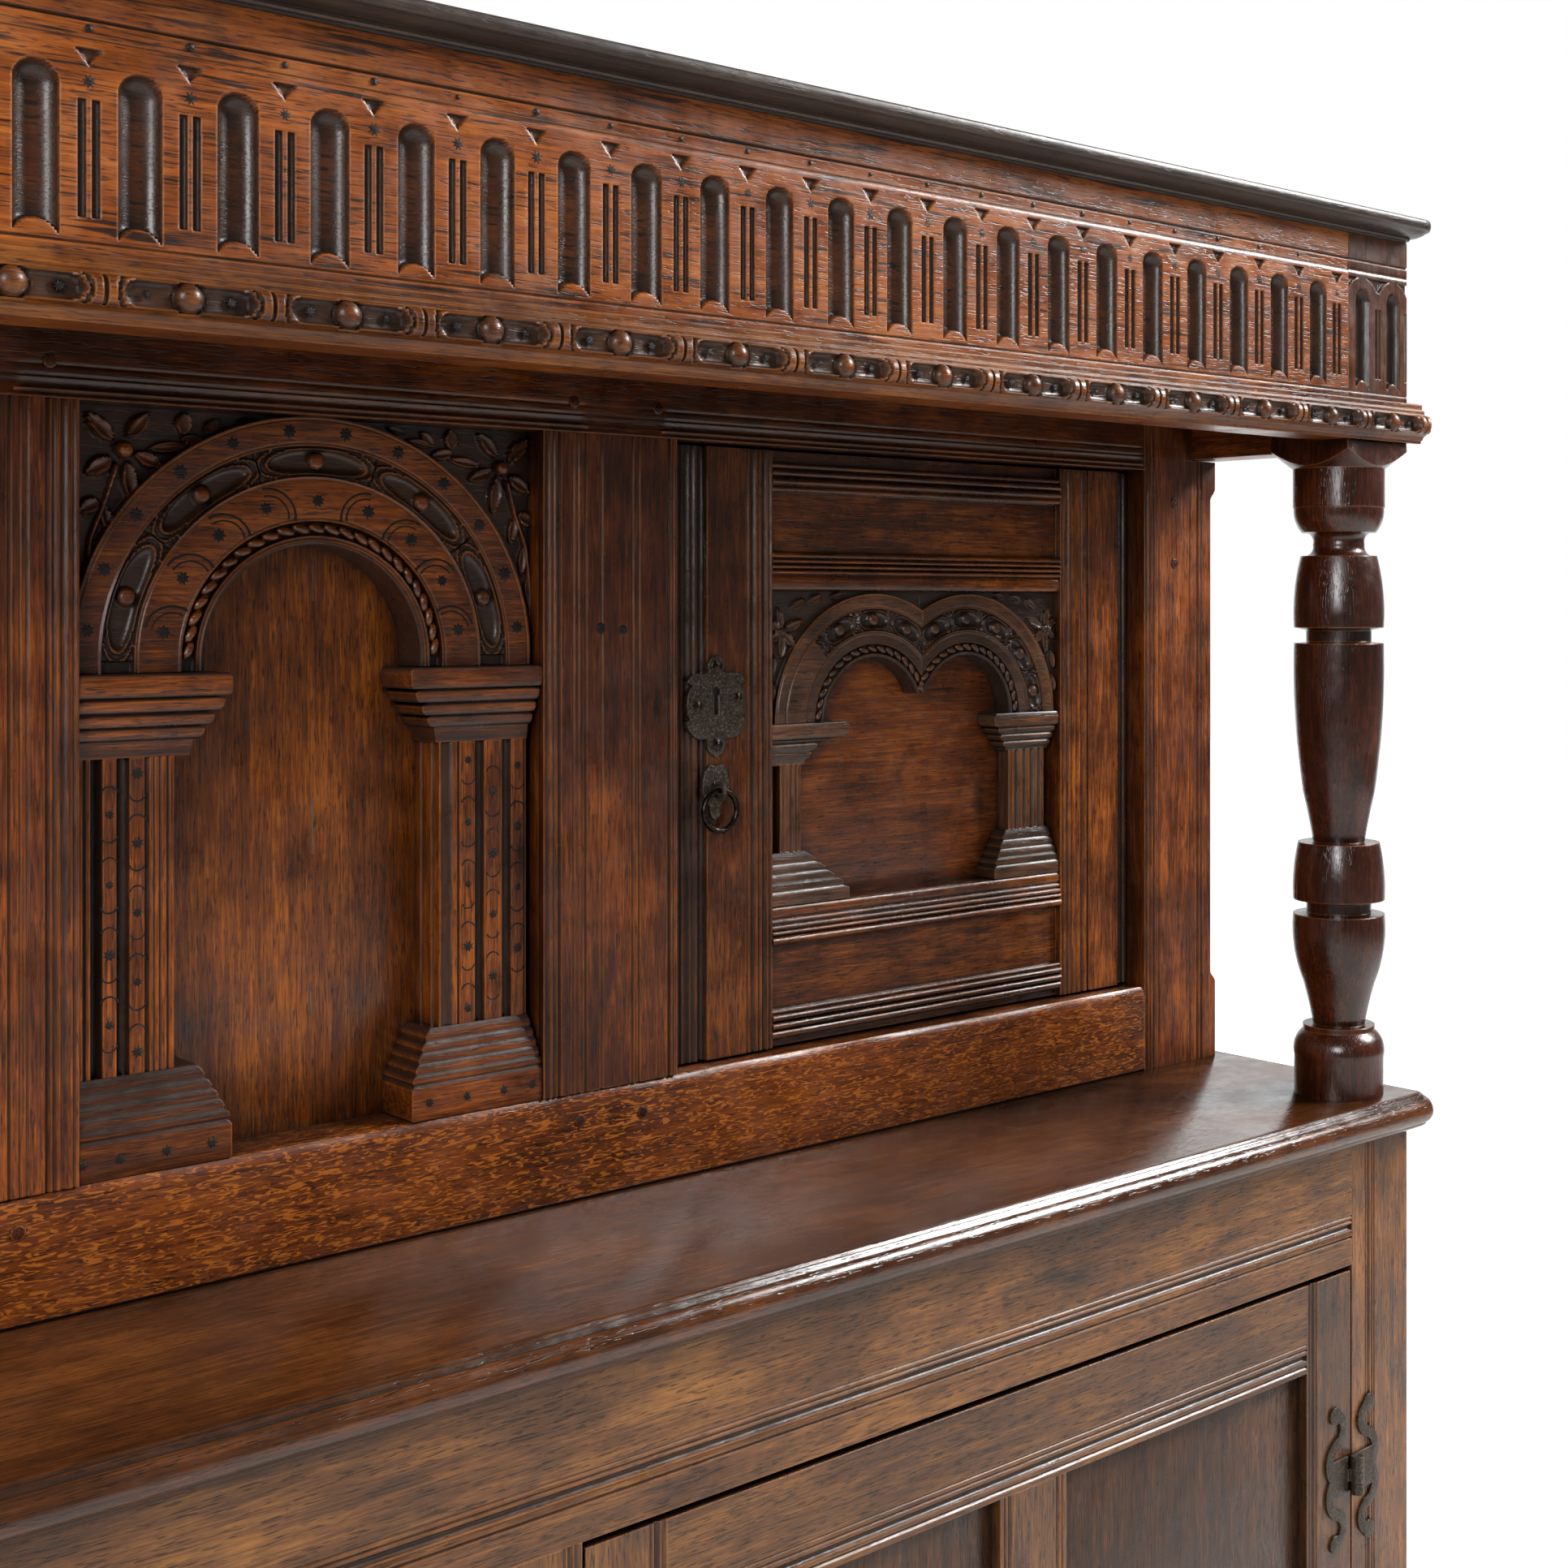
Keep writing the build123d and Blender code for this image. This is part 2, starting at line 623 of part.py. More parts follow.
# ------------------------------------------------------------------ canopy
def column_outline():
    """Half section of the turned column, radius against height above the ledge."""
    r = column_radius
    neck = column_neck_radius
    vase_turn = (column_foot_ring_top + column_low_vase_top) / 2
    high_turn = (column_collar_top + column_high_vase_top) / 2
    points = [
        Line((0, -column_spigot_length), (column_spigot_radius, -column_spigot_length)),
        Line((column_spigot_radius, -column_spigot_length), (column_spigot_radius, 0)),
        Line((column_spigot_radius, 0), (r - 1, 0)),
        Line((r - 1, 0), (r - 1, column_foot_height)),
        ThreePointArc((r - 1, column_foot_height),
                      (r - 2.5, (column_foot_height + column_torus_top) / 2 + 4),
                      (column_foot_ring_radius, column_torus_top)),
        Line((column_foot_ring_radius, column_torus_top),
             (column_foot_ring_radius, column_foot_ring_top)),
        Line((column_foot_ring_radius, column_foot_ring_top), (neck, column_foot_ring_top)),
        ThreePointArc((neck, column_foot_ring_top), (neck + 2.2, column_foot_ring_top + 11),
                      (neck + 0.5 * (r - neck), vase_turn - 10)),
        ThreePointArc((neck + 0.5 * (r - neck), vase_turn - 10), (r - 2.2, vase_turn + 8),
                      (r, column_low_vase_top)),
        Line((r, column_low_vase_top), (column_groove_radius, column_low_vase_top + 1)),
        Line((column_groove_radius, column_low_vase_top + 1),
             (column_groove_radius, column_collar_bottom - 1)),
        Line((column_groove_radius, column_collar_bottom - 1), (r, column_collar_bottom + 1)),
        ThreePointArc((r, column_collar_bottom + 1),
                      (r - 1, (column_collar_bottom + column_collar_top) / 2 + 6),
                      (column_collar_radius, column_collar_top)),
        Line((column_collar_radius, column_collar_top), (neck, column_collar_top)),
        ThreePointArc((neck, column_collar_top), (neck + 2.6, column_collar_top + 15),
                      (neck + 0.5 * (r - neck), high_turn - 38)),
        ThreePointArc((neck + 0.5 * (r - neck), high_turn - 38), (r - 2.6, high_turn + 8),
                      (r - 0.8, column_high_vase_top)),
        Line((r - 0.8, column_high_vase_top), (column_groove_radius, column_high_vase_top + 1)),
        Line((column_groove_radius, column_high_vase_top + 1),
             (column_groove_radius, column_bell_bottom - 1)),
        Line((column_groove_radius, column_bell_bottom - 1), (r - 0.8, column_bell_bottom + 1)),
        ThreePointArc((r - 0.8, column_bell_bottom + 1),
                      (r - 1.8, (column_bell_bottom + column_bell_top) / 2 + 6),
                      (column_bell_radius, column_bell_top)),
        ThreePointArc((column_bell_radius, column_bell_top), (neck + 1.2, column_bell_top + 3),
                      (neck, (column_bell_top + column_neck_top) / 2)),
        ThreePointArc((neck, (column_bell_top + column_neck_top) / 2),
                      (neck + 1.6, column_neck_top - 2), (column_ovolo_radius, column_neck_top)),
        ThreePointArc((column_ovolo_radius, column_neck_top), (r - 2.2, column_neck_top + 8),
                      (r - 0.6, column_ovolo_top)),
        Line((r - 0.6, column_ovolo_top), (r, column_ovolo_top)),
        Line((r, column_ovolo_top), (r, column_head_bottom)),
        Line((r, column_head_bottom), (0, column_head_bottom)),
        Line((0, column_head_bottom), (0, -column_spigot_length)),
    ]
    return make_face(points)


def build_columns(rails):
    """Turned columns with square heads, mortised for the frieze and the canopy rails."""
    x, y = column_axis()
    shaft = revolve(Plane.XZ * column_outline(), Axis.Z)
    shaft = Pos(x, y, ledge_height) * shaft
    corner = post_size / 2 * 2 ** 0.5
    head_z = ledge_height + column_head_bottom
    head = block(outer - post_size, outer, front, front + post_size, head_z, cornice_under)
    lathe = revolve(Plane.XZ * make_face(Polyline(
        (0, 0), (column_radius, 0), (corner + 1, column_head_chamfer),
        (corner + 1, cornice_under - head_z), (0, cornice_under - head_z), close=True)), Axis.Z)
    head = head & (Pos(x, y, head_z) * lathe)
    band = block(outer - post_size, outer, front, front + frieze_band_setback,
                 cornice_under - frieze_band_height, cornice_under)
    head -= band
    for side in (-1, 1):
        head -= flute(x + side * post_flute_spacing / 2, 0.8 * flute_width)
    for place in (x - post_slot_offset, x + post_slot_offset, outer - post_edge_slot):
        head -= slot(place, post_slot_width)
    column = shaft + head
    for rail in rails:
        column -= rail
    parts["column_right"] = column
    parts["column_left"] = mirrored(column)


def flute(x, width):
    """Cutter for one round-headed flute in the frieze."""
    radius = (width ** 2 / 4 + flute_depth ** 2) / (2 * flute_depth)
    y = front - radius + flute_depth
    top = soffit + flute_top - width / 2
    bottom = soffit + flute_bottom
    return rod_z(x, y, bottom, top, radius) + Pos(x, y, top) * Sphere(radius)


def slot(x, width):
    """Cutter for one narrow slot beside a flute."""
    return block(x - width / 2, x + width / 2, front, front + slot_depth, soffit + slot_bottom,
                 soffit + slot_top)


def sunk_ground(x):
    """Cutter for the three-sided ground between the arcs over two flutes."""
    def half_width(height):
        rise = height - lunette_height
        return flute_pitch / 2 - (lunette_radius ** 2 - rise ** 2) ** 0.5

    apex = lunette_height + (lunette_radius ** 2 - flute_pitch ** 2 / 4) ** 0.5
    middle = (apex + ground_top) / 2
    top_half, middle_half = half_width(ground_top), half_width(middle)
    outline = make_face([
        ThreePointArc((-top_half, ground_top), (-middle_half, middle), (0, apex)),
        ThreePointArc((0, apex), (middle_half, middle), (top_half, ground_top)),
        Line((top_half, ground_top), (-top_half, ground_top)),
    ])
    return facing(Pos(x, soffit) * outline, front, front + ground_depth)


def build_canopy():
    """Frieze, canopy rails, pearl moulding and cornice."""
    inner = outer - post_size
    frieze = rail_along_x(-inner, inner, front, front + frieze_board_thickness, soffit,
                          cornice_under)
    frieze -= block(-inner, inner, front, front + frieze_band_setback,
                    cornice_under - frieze_band_height, cornice_under)
    middle = (flute_count - 1) / 2
    for i in range(flute_count):
        frieze -= flute((i - middle) * flute_pitch, flute_width)
    between = [(i - flute_count / 2) * flute_pitch for i in range(flute_count + 1)]
    frieze -= [sunk_ground(x) for x in between]
    frieze -= [slot(x + side * slot_offset, slot_width) for x in between for side in (-1, 1)]

    # canopy rails run from the column heads over the stiles to the back
    y0 = front + post_size
    x_mid = (canopy_rail_inner + outer) / 2
    rail = block(canopy_rail_inner, outer, y0, back, canopy_rail_under, cornice_under)
    rail += block(x_mid - tenon_thickness / 2, x_mid + tenon_thickness / 2,
                  y0 - tenon_length, y0, canopy_rail_under + tenon_shoulder,
                  cornice_under - tenon_shoulder)
    parts["frieze_board"] = frieze
    parts["canopy_rail_right"] = rail
    parts["canopy_rail_left"] = mirrored(rail)
    build_columns([frieze, rail])
    build_pearl_moulding()

    reach = outer + cornice_overhang
    low = outer + 5.0
    board = block(-reach, reach, front - cornice_overhang, back, cornice_under + cornice_cove,
                  cornice_under + cornice_thickness)
    corners = board.edges().filter_by(Axis.Z).group_by(Axis.Y)[0]
    board = fillet(corners, cornice_corner_radius)
    cove = block(-low, low, front - 5.0, back, cornice_under, cornice_under + cornice_cove)
    parts["cornice_board"] = board + cove


def build_pearl_moulding():
    """Pearl-and-oval moulding along the frieze's foot, returned down both sides."""
    levels = ((soffit, pearl_fillet_height, pearl_fillet_proud),
              (soffit + pearl_fillet_height, pearl_band_height, pearl_band_proud),
              (soffit + pearl_fillet_height + pearl_band_height, pearl_top_fillet_height,
               pearl_fillet_proud))
    run = None
    side = None
    for z, height, proud in levels:
        front_bar = block(-outer - proud, outer + proud, front - proud, front, z, z + height)
        side_bar = block(outer, outer + proud, front, back, z, z + height)
        run = front_bar if run is None else run + front_bar
        side = side_bar if side is None else side + side_bar
    pearl_z = soffit + pearl_fillet_height + pearl_band_height / 2
    count = int(outer / pearl_pitch)
    face_y = front - pearl_band_proud
    oval = facing(SlotOverall(pearl_oval_length, pearl_oval_height), face_y,
                  face_y + pearl_oval_depth)
    for i in range(-count, count + 1):
        x = i * pearl_pitch + pearl_offset
        run -= Pos(x, 0, pearl_z) * oval
        run += Pos(x, face_y + pearl_oval_depth, pearl_z) * Sphere(pearl_radius) \
            & block(x - pearl_radius, x + pearl_radius, face_y, front, pearl_z - pearl_radius,
                    pearl_z + pearl_radius)
    parts["pearl_moulding"] = solids([run, side, mirrored(side)])


# ------------------------------------------------------------------ doors
def upper_pivot():
    """Pivot axis of the right upper door."""
    x = upper_outer - end_stile_width - upper_door_hinge_gap - upper_door_thickness / 2
    y = face + upper_door_setback + upper_door_thickness / 2
    return x, y


def upper_door_edges():
    """Free edge, hinge edge, bottom and top of the right upper door."""
    free = arch_opening_width / 2 + muntin_width + upper_door_free_gap
    hinge = upper_outer - end_stile_width - upper_door_hinge_gap
    return free, hinge, opening_bottom + upper_door_end_gap, opening_top - upper_door_end_gap


def bolt_box(extra, clearance):
    """The bolt's bar, grown by a clearance and reaching past the door's free edge."""
    free, _, _, _ = upper_door_edges()
    y0 = face + upper_door_setback + upper_door_thickness + bolt_cover
    z = ledge_height + keyhole_height
    return block(free - extra, free + bolt_length, y0 - clearance,
                 y0 + bolt_depth + clearance, z - bolt_height / 2 - clearance,
                 z + bolt_height / 2 + clearance)


def build_upper_door():
    """Right upper door: framed, with strip mouldings and a carved double arch."""
    free, hinge, bottom, top = upper_door_edges()
    y0 = face + upper_door_setback
    y1 = y0 + upper_door_thickness
    pivot_x, pivot_y = upper_pivot()
    field_left = free + lock_stile_width
    field_right = hinge - hinge_stile_width
    rail_y = y0 + upper_door_rail_setback
    arch_low = bottom + upper_door_rail_height
    arch_high = top - upper_door_rail_height

    panel_y = y0 + upper_door_panel_setback
    panel = block(field_left - panel_groove, field_right + panel_groove, panel_y,
                  panel_y + upper_door_panel_thickness, arch_low - panel_groove,
                  arch_high + panel_groove)
    low_rail = rail_along_x(field_left, field_right, rail_y, y1, bottom, arch_low) - panel
    high_rail = rail_along_x(field_left, field_right, rail_y, y1, arch_high, top) - panel
    lock_stile = block(free, field_left, y0, y1, bottom, top) - low_rail - high_rail - panel
    hinge_stile = block(field_right, pivot_x, y0, y1, bottom, top)
    hinge_stile += rod_z(pivot_x, pivot_y, bottom, top, upper_door_thickness / 2)
    hinge_stile = hinge_stile - low_rail - high_rail - panel
    lock_stile = scratched_z(lock_stile, y0, [free + 0.36 * lock_stile_width,
                                              free + 0.74 * lock_stile_width], bottom, top)
    hinge_stile = scratched_z(hinge_stile, y0, [field_right + 0.38 * hinge_stile_width],
                              bottom, top)
    pivots = [rod_z(pivot_x, pivot_y, bottom - upper_door_end_gap - pivot_reach + 1,
                    bottom + pivot_root, pivot_radius),
              rod_z(pivot_x, pivot_y, top - pivot_root,
                    top + upper_door_end_gap + pivot_reach - 1, pivot_radius)]
    for pin in pivots:
        hinge_stile -= pin

    # strip mouldings planted on the rails: three reeds each
    strips = []
    for z, height in ((top - strip_height - 8, strip_height),
                      (arch_high, wide_strip_height),
                      (arch_low - wide_strip_height, wide_strip_height),
                      (bottom + 5, strip_height)):
        strip = block(field_left, field_right, rail_y - strip_proud + 3, rail_y, z, z + height)
        reed = height / 6
        for i in range(3):
            strip += rod_x(field_left, field_right, rail_y - strip_proud + 3,
                           z + reed * (1 + 2 * i), 3.0) \
                & block(field_left, field_right, rail_y - strip_proud - 2, rail_y, z, z + height)
        strips.append(strip)

    arch = door_arch(field_left, field_right, arch_high, y0, panel_y)
    pillars = door_pillars(field_left, field_right, arch_low, arch_high, y0, panel_y)
    iron = door_ironwork(free, y0) + pivots
    lock, bolt = door_lock(free, y1)

    build_pair("upper_{}_door_frame", solids([lock_stile, hinge_stile, low_rail, high_rail]))
    build_pair("upper_{}_door_panel", panel)
    build_pair("upper_{}_door_mouldings", solids(strips))
    build_pair("upper_{}_door_arch", arch)
    build_pair("upper_{}_door_pillars", solids(pillars))
    build_pair("upper_{}_door_ironwork", solids(iron))
    build_pair("upper_{}_door_lock", lock)
    build_pair("upper_{}_door_bolt", bolt)
    ring_x, ring_z = free + keyhole_inset, ledge_height + keyhole_height - ring_drop
    build_pair("upper_{}_door_ring", pull_ring(ring_x, y0, ring_z))


def build_pair(name, shape):
    """The right-hand piece and its mirror image."""
    parts[name.format("right")] = shape
    parts[name.format("left")] = mirrored(shape)


def door_arch_radii(left, right, top):
    """Inner radius, outer radius and springing height of a door's two arches."""
    radius_in = ((right - left) / 2 - door_arch_side_gap - door_arch_band) / 2
    radius_out = radius_in + door_arch_band
    return radius_in, radius_out, top - radius_out - door_arch_top_gap


def door_arch(left, right, top, y0, y_back):
    """Two round arches side by side, meeting in a cusp whose pillar is lost."""
    centre = (left + right) / 2
    radius_in, radius_out, spring = door_arch_radii(left, right, top)
    half_pitch = radius_in
    channel_out = radius_out - door_arch_rim_width
    y_front = y0 + door_arch_setback
    slab = block(left, right, y_front + 4, y_back, spring, top)
    slab = slab - block(centre - 12, centre + 12, y_front + 4, y_back, spring,
                        spring + door_cusp_drop)
    for side in (-1, 1):
        x = centre + side * half_pitch
        band = ring_sector(x, spring, radius_out, radius_in, y_front, y_back)
        slab += band & block(left, right, y_front, y_back, spring, top)
    for side in (-1, 1):
        x = centre + side * half_pitch
        slab -= ring_sector(x, spring, channel_out, channel_out - door_arch_channel, y_front,
                            y_front + 3)
    for side in (-1, 1):
        x = centre + side * half_pitch
        slab -= ring_sector(x, spring, radius_in, 0, y_front - 1, y_back + 1)
    slab -= block(centre - 14, centre + 14, y_front - 1, y_back + 1, spring - 1,
                  spring + door_cusp_drop)
    return slab


def door_pillars(left, right, low, high, y0, y_back):
    """Capitals, pilasters and bases that carry the double arch at its two sides."""
    _, _, spring = door_arch_radii(left, right, high)
    steps = 4
    y_low = y0 + door_pilaster_setback
    y_high = y0 + 1
    pieces = []
    for side, edge, foot, pilaster_sides in (
            (-1, left, door_lock_side_foot, door_lock_side_pilaster),
            (1, right, door_hinge_side_foot, door_hinge_side_pilaster)):
        tips = [edge - side * (foot + (door_capital_reach - foot) * i / (steps - 1))
                for i in range(steps)]
        fronts = [y_low + (y_high - y_low) * i / (steps - 1) for i in range(steps)]
        capital = stepped(tips, fronts, y_back, edge, spring - door_capital_height, spring)
        base = stepped(tips[::-1], fronts[::-1], y_back, edge, low, low + door_base_height)
        x0, x1 = sorted(edge - side * reach for reach in pilaster_sides)
        pilaster = block(x0, x1, y_low, y_back, low + door_base_height,
                         spring - door_capital_height)
        pieces += [capital, base, pilaster]
    return pieces


def staple_and_plate(x, y, z):
    """A ring plate with the staple that the ring hangs from; z is the ring's pivot height."""
    plate = block(x - ring_plate_width / 2, x + ring_plate_width / 2,
                  y - escutcheon_thickness, y, z - ring_plate_height * 0.62,
                  z + ring_plate_height * 0.38)
    loop_radius = ring_wire_radius + ring_clearance + staple_wire_radius
    axis_y = ring_axis_y(y)
    arc = CenterArc((0, 0), loop_radius, 90, 180)
    arc_plane = Plane(origin=(x, axis_y, z), x_dir=(0, 1, 0), z_dir=(1, 0, 0))
    start = Plane(origin=(x, axis_y, z + loop_radius), x_dir=(1, 0, 0), z_dir=(0, -1, 0))
    loop = sweep(start * Circle(staple_wire_radius), arc_plane * arc)
    for side in (-1, 1):
        leg = Pos(x, (axis_y + y) / 2, z + side * loop_radius) * Rot(90, 0, 0) \
            * Cylinder(staple_wire_radius, y - axis_y)
        loop += leg
    return plate + loop


def ring_axis_y(y):
    """The ring's pivot in front of the door face y."""
    return y - escutcheon_thickness - ring_clearance - 2 * ring_wire_radius


def pull_ring(x, y, z):
    """The ring, hanging from its staple."""
    return Pos(x, ring_axis_y(y), z - ring_mean_radius) * Rot(90, 0, 0) \
        * Torus(ring_mean_radius, ring_wire_radius)


def door_ironwork(free, y0):
    """Escutcheon with its keyhole, and the ring plate below it."""
    x = free + keyhole_inset
    z = ledge_height + keyhole_height
    lobe = escutcheon_width / 4
    ear = 0.18 * escutcheon_width
    body = Circle(0.37 * escutcheon_width)
    for side in (-1, 1):
        body += Pos(0, side * (escutcheon_height / 2 - lobe)) * Circle(lobe)
        body += Pos(side * (escutcheon_width / 2 - ear), 0) * Circle(ear)
    outline = Pos(x, z) * body
    plate = facing(outline, y0 - escutcheon_thickness, y0)
    keyhole = Pos(x, z + keyhole_slot_length / 2) * Circle(keyhole_radius)
    slot = Pos(x, z) * Rectangle(keyhole_slot_width, keyhole_slot_length)
    plate -= facing(keyhole + slot, y0 - escutcheon_thickness, y0)
    return [plate, staple_and_plate(x, y0, z - ring_drop)]


def door_lock(free, y1):
    """Lock case on the inside of the door, and the bolt that slides in it."""
    z = ledge_height + keyhole_height
    case = block(free + 2, free + 2 + lock_width, y1, y1 + lock_depth, z - lock_height / 2,
                 z + lock_height / 2)
    tunnel = bolt_box(bolt_throw, bolt_clearance)
    tunnel += Pos(bolt_throw, 0, 0) * tunnel
    return case - tunnel, bolt_box(0, 0)


def build_lower_doors():
    """Right lower door: two panels in a frame, on cock's-head hinges."""
    free = centre_stile_width / 2 + lower_door_side_gap
    hinge = outer - corner_stile_width - lower_door_side_gap
    bottom = foot_height + lower_rail_height + lower_door_end_gap
    top = ledge_under - lower_rail_height - lower_door_end_gap
    y1 = front + lower_door_thickness
    field_left = free + lower_door_stile_width
    field_right = hinge - lower_door_stile_width
    field_low = bottom + lower_door_rail_height
    field_high = top - lower_door_rail_height
    centre = (field_left + field_right) / 2
    muntin_left = centre - lower_door_muntin_width / 2
    muntin_right = centre + lower_door_muntin_width / 2
    panel_y = (front + y1 - panel_thickness) / 2

    panels = [block(x0 - panel_groove, x1 + panel_groove, panel_y, panel_y + panel_thickness,
                    field_low - panel_groove, field_high + panel_groove)
              for x0, x1 in ((field_left, muntin_left), (muntin_right, field_right))]
    muntin = post_along_z(muntin_left, muntin_right, front, y1, field_low, field_high)
    rails = [rail_along_x(field_left, field_right, front, y1, z0, z1) - muntin
             for z0, z1 in ((bottom, field_low), (field_high, top))]
    rails[1] = scratched_x(rails[1], front, [field_high + 0.16 * lower_door_rail_height,
                                             field_high + 0.34 * lower_door_rail_height])
    stiles = [block(x0, x1, front, y1, bottom, top) for x0, x1 in ((free, field_left),
                                                                  (field_right, hinge))]
    stiles = [stile - rails[0] - rails[1] for stile in stiles]
    frame = [member - panels[0] - panels[1] for member in stiles + rails + [muntin]]

    axis_x = outer - corner_stile_width - lower_door_side_gap / 2
    door_leaves = []
    stile_leaves = []
    for z in (bottom + hinge_inset, top - hinge_inset):
        door_leaf, stile_leaf = cocks_head_hinge(axis_x, z)
        door_leaves.append(door_leaf)
        stile_leaves.append(stile_leaf)
    ring_x, ring_z = free + lower_ring_inset, bottom + lower_ring_height
    iron = door_leaves + [staple_and_plate(ring_x, front, ring_z)]
    build_pair("lower_{}_door_frame", solids(frame))
    build_pair("lower_{}_door_panels", solids(panels))
    build_pair("lower_{}_door_ironwork", solids(iron))
    build_pair("lower_{}_door_ring", pull_ring(ring_x, front, ring_z))
    parts["hinge_stile_leaves"] = solids(stile_leaves + [mirrored(leaf) for leaf in stile_leaves])


def leaf_outline(side):
    """An S-scrolled hinge leaf beside the barrel, side being -1 for the door's leaf."""
    reach = hinge_leaf_reach
    top = hinge_leaf_height / 2
    outline = Pos(side * reach * 0.55, 0) * Rectangle(reach * 0.9, hinge_barrel_length)
    for end in (-1, 1):
        scroll = ThreePointArc((side * reach * 0.9, 0), (side * reach * 1.15, end * top * 0.3),
                               (side * reach * 0.7, end * top * 0.5))
        neck = ThreePointArc((side * reach * 0.7, end * top * 0.5),
                             (side * reach * 0.45, end * top * 0.7),
                             (side * reach * 0.85, end * top * 0.88))
        outline += trace([scroll, neck], hinge_leaf_band)
        outline += Pos(side * reach * 0.85, end * top * 0.88) * Circle(top * 0.12)
    return outline


def cocks_head_hinge(x, z):
    """Door leaf and stile leaf of one cock's-head hinge, its barrel proud of the face."""
    axis_y = front - hinge_axis_proud
    plate_y = front - hinge_plate_thickness
    third = hinge_barrel_length / 6
    leaves = []
    for side in (-1, 1):
        plate = facing(Pos(x, z) * leaf_outline(side), plate_y, front)
        plate -= block(x - hinge_barrel_radius - 1, x + hinge_barrel_radius + 1, plate_y, front,
                       z - hinge_leaf_height, z + hinge_leaf_height)
        leaves.append(plate)
    door_leaf, stile_leaf = leaves
    knuckle = rod_z(x, axis_y, z - third + hinge_knuckle_gap, z + third - hinge_knuckle_gap,
                    hinge_barrel_radius)
    lug = block(x - hinge_barrel_radius - 2, x, plate_y - 1, front, z - third + hinge_knuckle_gap,
                z + third - hinge_knuckle_gap)
    pin_hole = rod_z(x, axis_y, z - 2 * third, z + 2 * third,
                     hinge_pin_radius + hinge_pin_clearance)
    door_leaf = door_leaf + knuckle + lug - pin_hole
    for side in (-1, 1):
        z0, z1 = sorted((z + side * third, z + side * 3 * third))
        stile_leaf += rod_z(x, axis_y, z0, z1, hinge_barrel_radius)
        stile_leaf += block(x, x + hinge_barrel_radius + 2, plate_y - 1, front, z0, z1)
    stile_leaf += rod_z(x, axis_y, z - 2 * third, z + 2 * third, hinge_pin_radius)
    return door_leaf, stile_leaf


# ------------------------------------------------------------------ assembly
build_lower_carcase()
build_ledge_board()
build_upper_carcase()
build_centre_arch()
build_canopy()
build_upper_door()
build_lower_doors()

os.makedirs("parts", exist_ok=True)
for name, shape in parts.items():
    export_step(shape, f"parts/{name}.step")
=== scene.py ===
"""Joined oak court cupboard in dark waxed oak, dressed for rendering.

Metres, +Z up, +X to the right when facing the doors, +Y to the back.
"""
import json
import math
import bmesh
import bpy
import numpy as np
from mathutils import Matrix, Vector


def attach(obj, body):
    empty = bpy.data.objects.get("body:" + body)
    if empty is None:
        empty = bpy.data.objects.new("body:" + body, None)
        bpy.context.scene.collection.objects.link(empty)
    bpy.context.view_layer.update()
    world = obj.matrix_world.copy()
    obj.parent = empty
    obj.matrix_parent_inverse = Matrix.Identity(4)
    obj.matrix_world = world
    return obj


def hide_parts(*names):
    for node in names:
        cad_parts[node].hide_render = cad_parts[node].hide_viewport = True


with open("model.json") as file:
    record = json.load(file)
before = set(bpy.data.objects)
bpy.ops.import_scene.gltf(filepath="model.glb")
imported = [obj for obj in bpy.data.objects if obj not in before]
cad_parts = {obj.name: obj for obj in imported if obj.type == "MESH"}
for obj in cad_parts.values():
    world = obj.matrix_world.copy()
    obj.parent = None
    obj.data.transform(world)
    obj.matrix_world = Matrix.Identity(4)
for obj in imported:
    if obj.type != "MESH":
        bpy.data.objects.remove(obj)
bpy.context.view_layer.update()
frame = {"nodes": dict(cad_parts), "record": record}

MM = 0.001

# ------------------------------------------------------------------ the cupboard's planes, in mm
FRONT = -254.5            # faces of the frieze, the posts and the lower cupboard
BACK = 275.5
OUTER = 789.0
FACE = -65.5              # face of the recessed upper cupboard
SOFFIT = 1430.0           # underside of the frieze
CORNICE = 1584.0          # underside of the cornice
OPENING_LOW = 998.0       # upper cupboard's openings
OPENING_HIGH = 1414.0


# ------------------------------------------------------------------ materials
def linear(hex_colour):
    """A linear RGBA colour from an sRGB hex value."""
    parts = [int(hex_colour[i:i + 2], 16) / 255 for i in (1, 3, 5)]
    rgb = [c / 12.92 if c <= 0.04045 else ((c + 0.055) / 1.055) ** 2.4 for c in parts]
    return (*rgb, 1.0)


def add(tree, kind, settings=None, inputs=None, stops=()):
    """Adds a node with its settings, and links or sets its inputs. A node given for an input
    stands for its first output in use. Stops are a colour ramp's positions, each with a hex
    colour or a grey level."""
    node = tree.nodes.new(kind if "Node" in kind else "ShaderNode" + kind)
    for name, value in (settings or {}).items():
        setattr(node, name, value)
    for name, value in (inputs or {}).items():
        if isinstance(value, bpy.types.Node):
            value = next(output for output in value.outputs if output.enabled)
        if isinstance(value, bpy.types.NodeSocket):
            tree.links.new(value, node.inputs[name])
        else:
            node.inputs[name].default_value = value
    if stops:
        elements = node.color_ramp.elements
        while len(elements) < len(stops):
            elements.new(0.5)
        for element, (position, colour) in zip(elements, stops):
            element.position = position
            element.color = linear(colour) if isinstance(colour, str) else (colour,) * 3 + (1.0,)
    return node


def new_material(name):
    """A material with an empty node tree."""
    material = bpy.data.materials.new(name)
    material.use_nodes = True
    material.node_tree.nodes.clear()
    return material, material.node_tree


def surface(tree, inputs):
    """Ends a material's tree in its shader."""
    add(tree, "OutputMaterial", None, {"Surface": add(tree, "BsdfPrincipled", None, inputs)})


